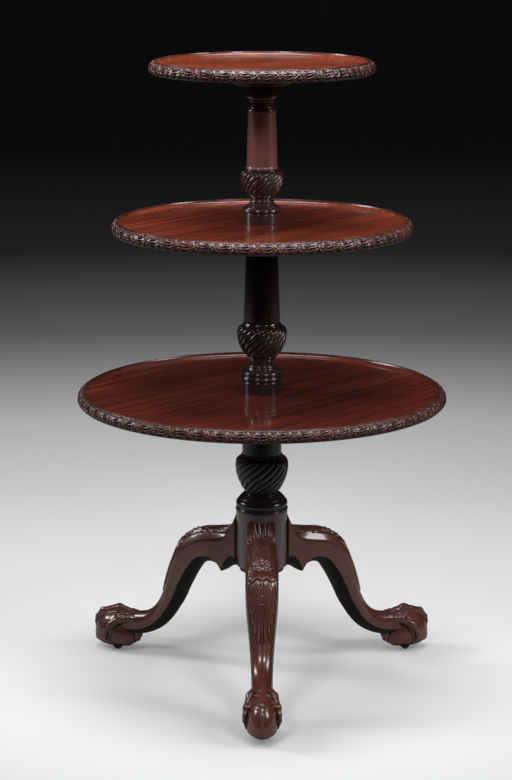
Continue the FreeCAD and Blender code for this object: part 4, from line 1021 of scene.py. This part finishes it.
def claw_foot():
    x, y, z = (np.arange(start, end, FOOT_STEP) for start, end in zip(FOOT_LOW, FOOT_HIGH))
    flat_x, flat_z = np.meshgrid(x, z, indexing="ij")
    places = [value[:, None, :] for value in shaft_places(flat_x, flat_z)]
    field = foot_distance(x[:, None, None], y[None, :, None], z[None, None, :], places)[0]
    points, faces = skinned(field, FOOT_LOW, FOOT_STEP)

    def measured(at):
        return foot_distance(at[:, 0], at[:, 1], at[:, 2], shaft_places(at[:, 0], at[:, 2]))

    def slope(at):
        ways = SLOPE_STEP * np.eye(3)
        steps = [measured(at + way)[0] - measured(at - way)[0] for way in ways]
        return np.stack(steps, -1) / (2 * SLOPE_STEP)

    for _ in range(PULLS):
        away, tilt = measured(points)[0], slope(points)
        pull = away / np.maximum((tilt ** 2).sum(1), 0.25)
        points = points - np.clip(pull, -LARGEST_PULL, LARGEST_PULL)[:, None] * tilt
    tilt = slope(points)
    facing = tilt / np.maximum(np.linalg.norm(tilt, axis=1), 1e-6)[:, None]
    # Painted shade in the creases, and the claws painted darker towards their tips
    outside = measured(points + facing * CREASE_REACH)[0]
    crease = np.clip((CREASE_REACH - outside) / CREASE_REACH, 0, 1)
    claws = measured(points)[1]
    tone = np.where(claws < 0.4, 0.3 + 0.5 * smooth_step(points[:, 2], 25, 50), 1.0)
    tone = tone * (1 - smooth_step(crease, 0.12, 0.7))
    places = shaft_places(points[:, 0], points[:, 2])
    level, fall = places[0], places[4]
    # The shaft's underside near the ankle, the ball's flat bottom and the pad take the second finish,
    # painted shade
    below = (level < fall) & (shaft_distance(points[:, 1], places) < 0.8)
    below = below | (points[:, 2] < BALL_FLOOR + 0.2)
    return Shape(points, faces, tone, below[faces].all(1).astype(int).tolist())


leg_shape = leg_shaft() + claw_foot()
for side, angle in LEG_ANGLES.items():
    add_piece(f"{side}_carved_leg", leg_shape.turned_by(angle), (leg_wood, underside_shade_wood), "base",
              "leg_mahogany", f"{side}_leg")


# Finishes of the CAD pieces that stay as they are
def finish_node(node, material):
    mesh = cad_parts[node].data
    mesh.materials.clear()
    mesh.materials.append(material)


CASTOR_FINISHES = {"plate": brass, "fork": brass, "axle": iron, "wheel": roller_leather}
for side in LEG_ANGLES:
    for part, material in CASTOR_FINISHES.items():
        finish_node(f"{side}_castor_{part}", material)
finish_node("castor_plate_screws", brass)
finish_node("hub_cap_screws", iron)
for tier in TRAYS:
    finish_node(f"{tier}_boss_screws", iron)


# Floor, light and camera
FLOOR_RADIUS = 40.0
FLOOR_BOUNCE, FLOOR_GLEAM, FLOOR_GLOW = 0.45, 0.55, 0.20
# Painted light on the floor: a pool of light fading with distance from the stem, quickest within 0.7 m to
# paint the trays' soft shadow, and a front edge darkening with depth; and tones of the sky by height
FLOOR_LIGHT_POOL_TONES = (
    (0.0, (0.80, 0.81, 0.82)), (0.07, (0.58, 0.587, 0.595)), (0.20, (0.50, 0.502, 0.507)),
    (0.31, (0.17, 0.172, 0.178)), (0.46, (0.03, 0.030, 0.033)), (0.75, (0.004, 0.004, 0.0045)),
)
FRONT_FALLOFF_TONES = ((0.0, (0.03,) * 3), (0.62, (0.80,) * 3), (1.0, (1,) * 3))
SKY_TONES = ((0.15, (0.004, 0.004, 0.0045)), (0.7, (0.006, 0.006, 0.007)), (0.95, (0.10, 0.10, 0.105)))
SKY_LIGHT, SKY_STRENGTH = (0.95, 0.97, 1.0, 1), 0.12
# Place of each lamp, height on the stem that it is aimed at, width, height and watts
SOFT_BOXES = {
    "left_front_box": ((-1.10, -2.15, 2.45), 0.4, 0.5, 0.45, 21),
    "right_front_box": ((1.20, -2.10, 2.45), 0.4, 0.5, 0.45, 19),
    "left_side_box": ((-2.55, 0.5, 1.85), 0.5, 0.8, 1.1, 34),
    "right_side_box": ((2.5, -0.7, 1.9), 0.5, 0.8, 1.1, 31),
    "top_soft_box": ((0, -0.1, 2.05), 0.3, 1.2, 0.9, 36),
}
CAMERA_PLACE, CAMERA_TILT = (-0.010, -3.9685, 1.4166), 0.2231
SENSOR_WIDTH, LENS, FAR_SIGHT = 36, 109.8, 200


def floor_finish():
    material, tree, surface = shader("floor_sweep")
    place = object_place(tree)
    length = tree.nodes.new("ShaderNodeVectorMath")
    length.operation = "LENGTH"
    tree.links.new(place, length.inputs[0])
    # Painted pool of light and shadow on the floor, darkened towards the front
    distance = span(tree, length.outputs["Value"], 0, 10, 0, 1)
    colour = ramp(tree, distance, *FLOOR_LIGHT_POOL_TONES)
    apart = tree.nodes.new("ShaderNodeSeparateXYZ")
    tree.links.new(place, apart.inputs[0])
    front = ramp(tree, span(tree, apart.outputs["Y"], -1.6, 0, 0, 1), *FRONT_FALLOFF_TONES)
    colour = blended(tree, 1.0, colour, front, "MULTIPLY")
    rays = tree.nodes.new("ShaderNodeLightPath").outputs
    for ray, share in (("Is Diffuse Ray", FLOOR_BOUNCE), ("Is Glossy Ray", FLOOR_GLEAM)):
        dimmed = blended(tree, 1.0, colour, (share, share, share, 1), "MULTIPLY")
        colour = blended(tree, rays[ray], colour, dimmed)
    glow = span(tree, rays["Is Camera Ray"], 0, 1, 0, FLOOR_GLOW)
    feed(tree, surface, Base_Color=colour, Emission_Color=colour, Emission_Strength=glow,
         Roughness=0.75, Specular_IOR_Level=0.2)
    return material


bpy.ops.mesh.primitive_circle_add(vertices=96, radius=FLOOR_RADIUS, fill_type="NGON")
floor = bpy.context.object
floor.name = "floor"
floor.data.materials.append(floor_finish())


for name, (place, aim, width, height, watts) in SOFT_BOXES.items():
    lamp = bpy.data.lights.new(name, "AREA")
    lamp.shape = "RECTANGLE"
    lamp.size, lamp.size_y = width, height
    lamp.energy = watts
    box = new_object(name, lamp)
    box.location = place
    box.rotation_euler = (Vector((0, 0, aim)) - Vector(place)).to_track_quat("-Z", "Y").to_euler()


def studio_world():
    world = bpy.data.worlds.new("studio")
    bpy.context.scene.world = world
    world.use_nodes = True
    tree = world.node_tree
    tree.nodes.clear()
    output, mix = tree.nodes.new("ShaderNodeOutputWorld"), tree.nodes.new("ShaderNodeMixShader")
    seen, soft = tree.nodes.new("ShaderNodeBackground"), tree.nodes.new("ShaderNodeBackground")
    split = tree.nodes.new("ShaderNodeSeparateXYZ")
    tree.links.new(tree.nodes.new("ShaderNodeTexCoord").outputs["Generated"], split.inputs[0])
    height = span(tree, split.outputs["Z"], -0.2, 0.8, 0, 1)
    feed(tree, seen, Color=ramp(tree, height, *SKY_TONES))
    feed(tree, soft, Color=SKY_LIGHT, Strength=SKY_STRENGTH)
    rays = tree.nodes.new("ShaderNodeLightPath").outputs
    tree.links.new(larger(tree, rays["Is Camera Ray"], rays["Is Glossy Ray"]), mix.inputs[0])
    tree.links.new(soft.outputs[0], mix.inputs[1])
    tree.links.new(seen.outputs[0], mix.inputs[2])
    tree.links.new(mix.outputs[0], output.inputs["Surface"])


studio_world()

camera = new_object("camera", bpy.data.cameras.new("camera"))
camera.location = CAMERA_PLACE
camera.rotation_euler = (math.pi / 2 - CAMERA_TILT, 0, 0)
camera.data.sensor_width = SENSOR_WIDTH
camera.data.lens = LENS
camera.data.clip_end = FAR_SIGHT
bpy.context.scene.camera = camera
bpy.context.scene.view_settings.view_transform = "Standard"
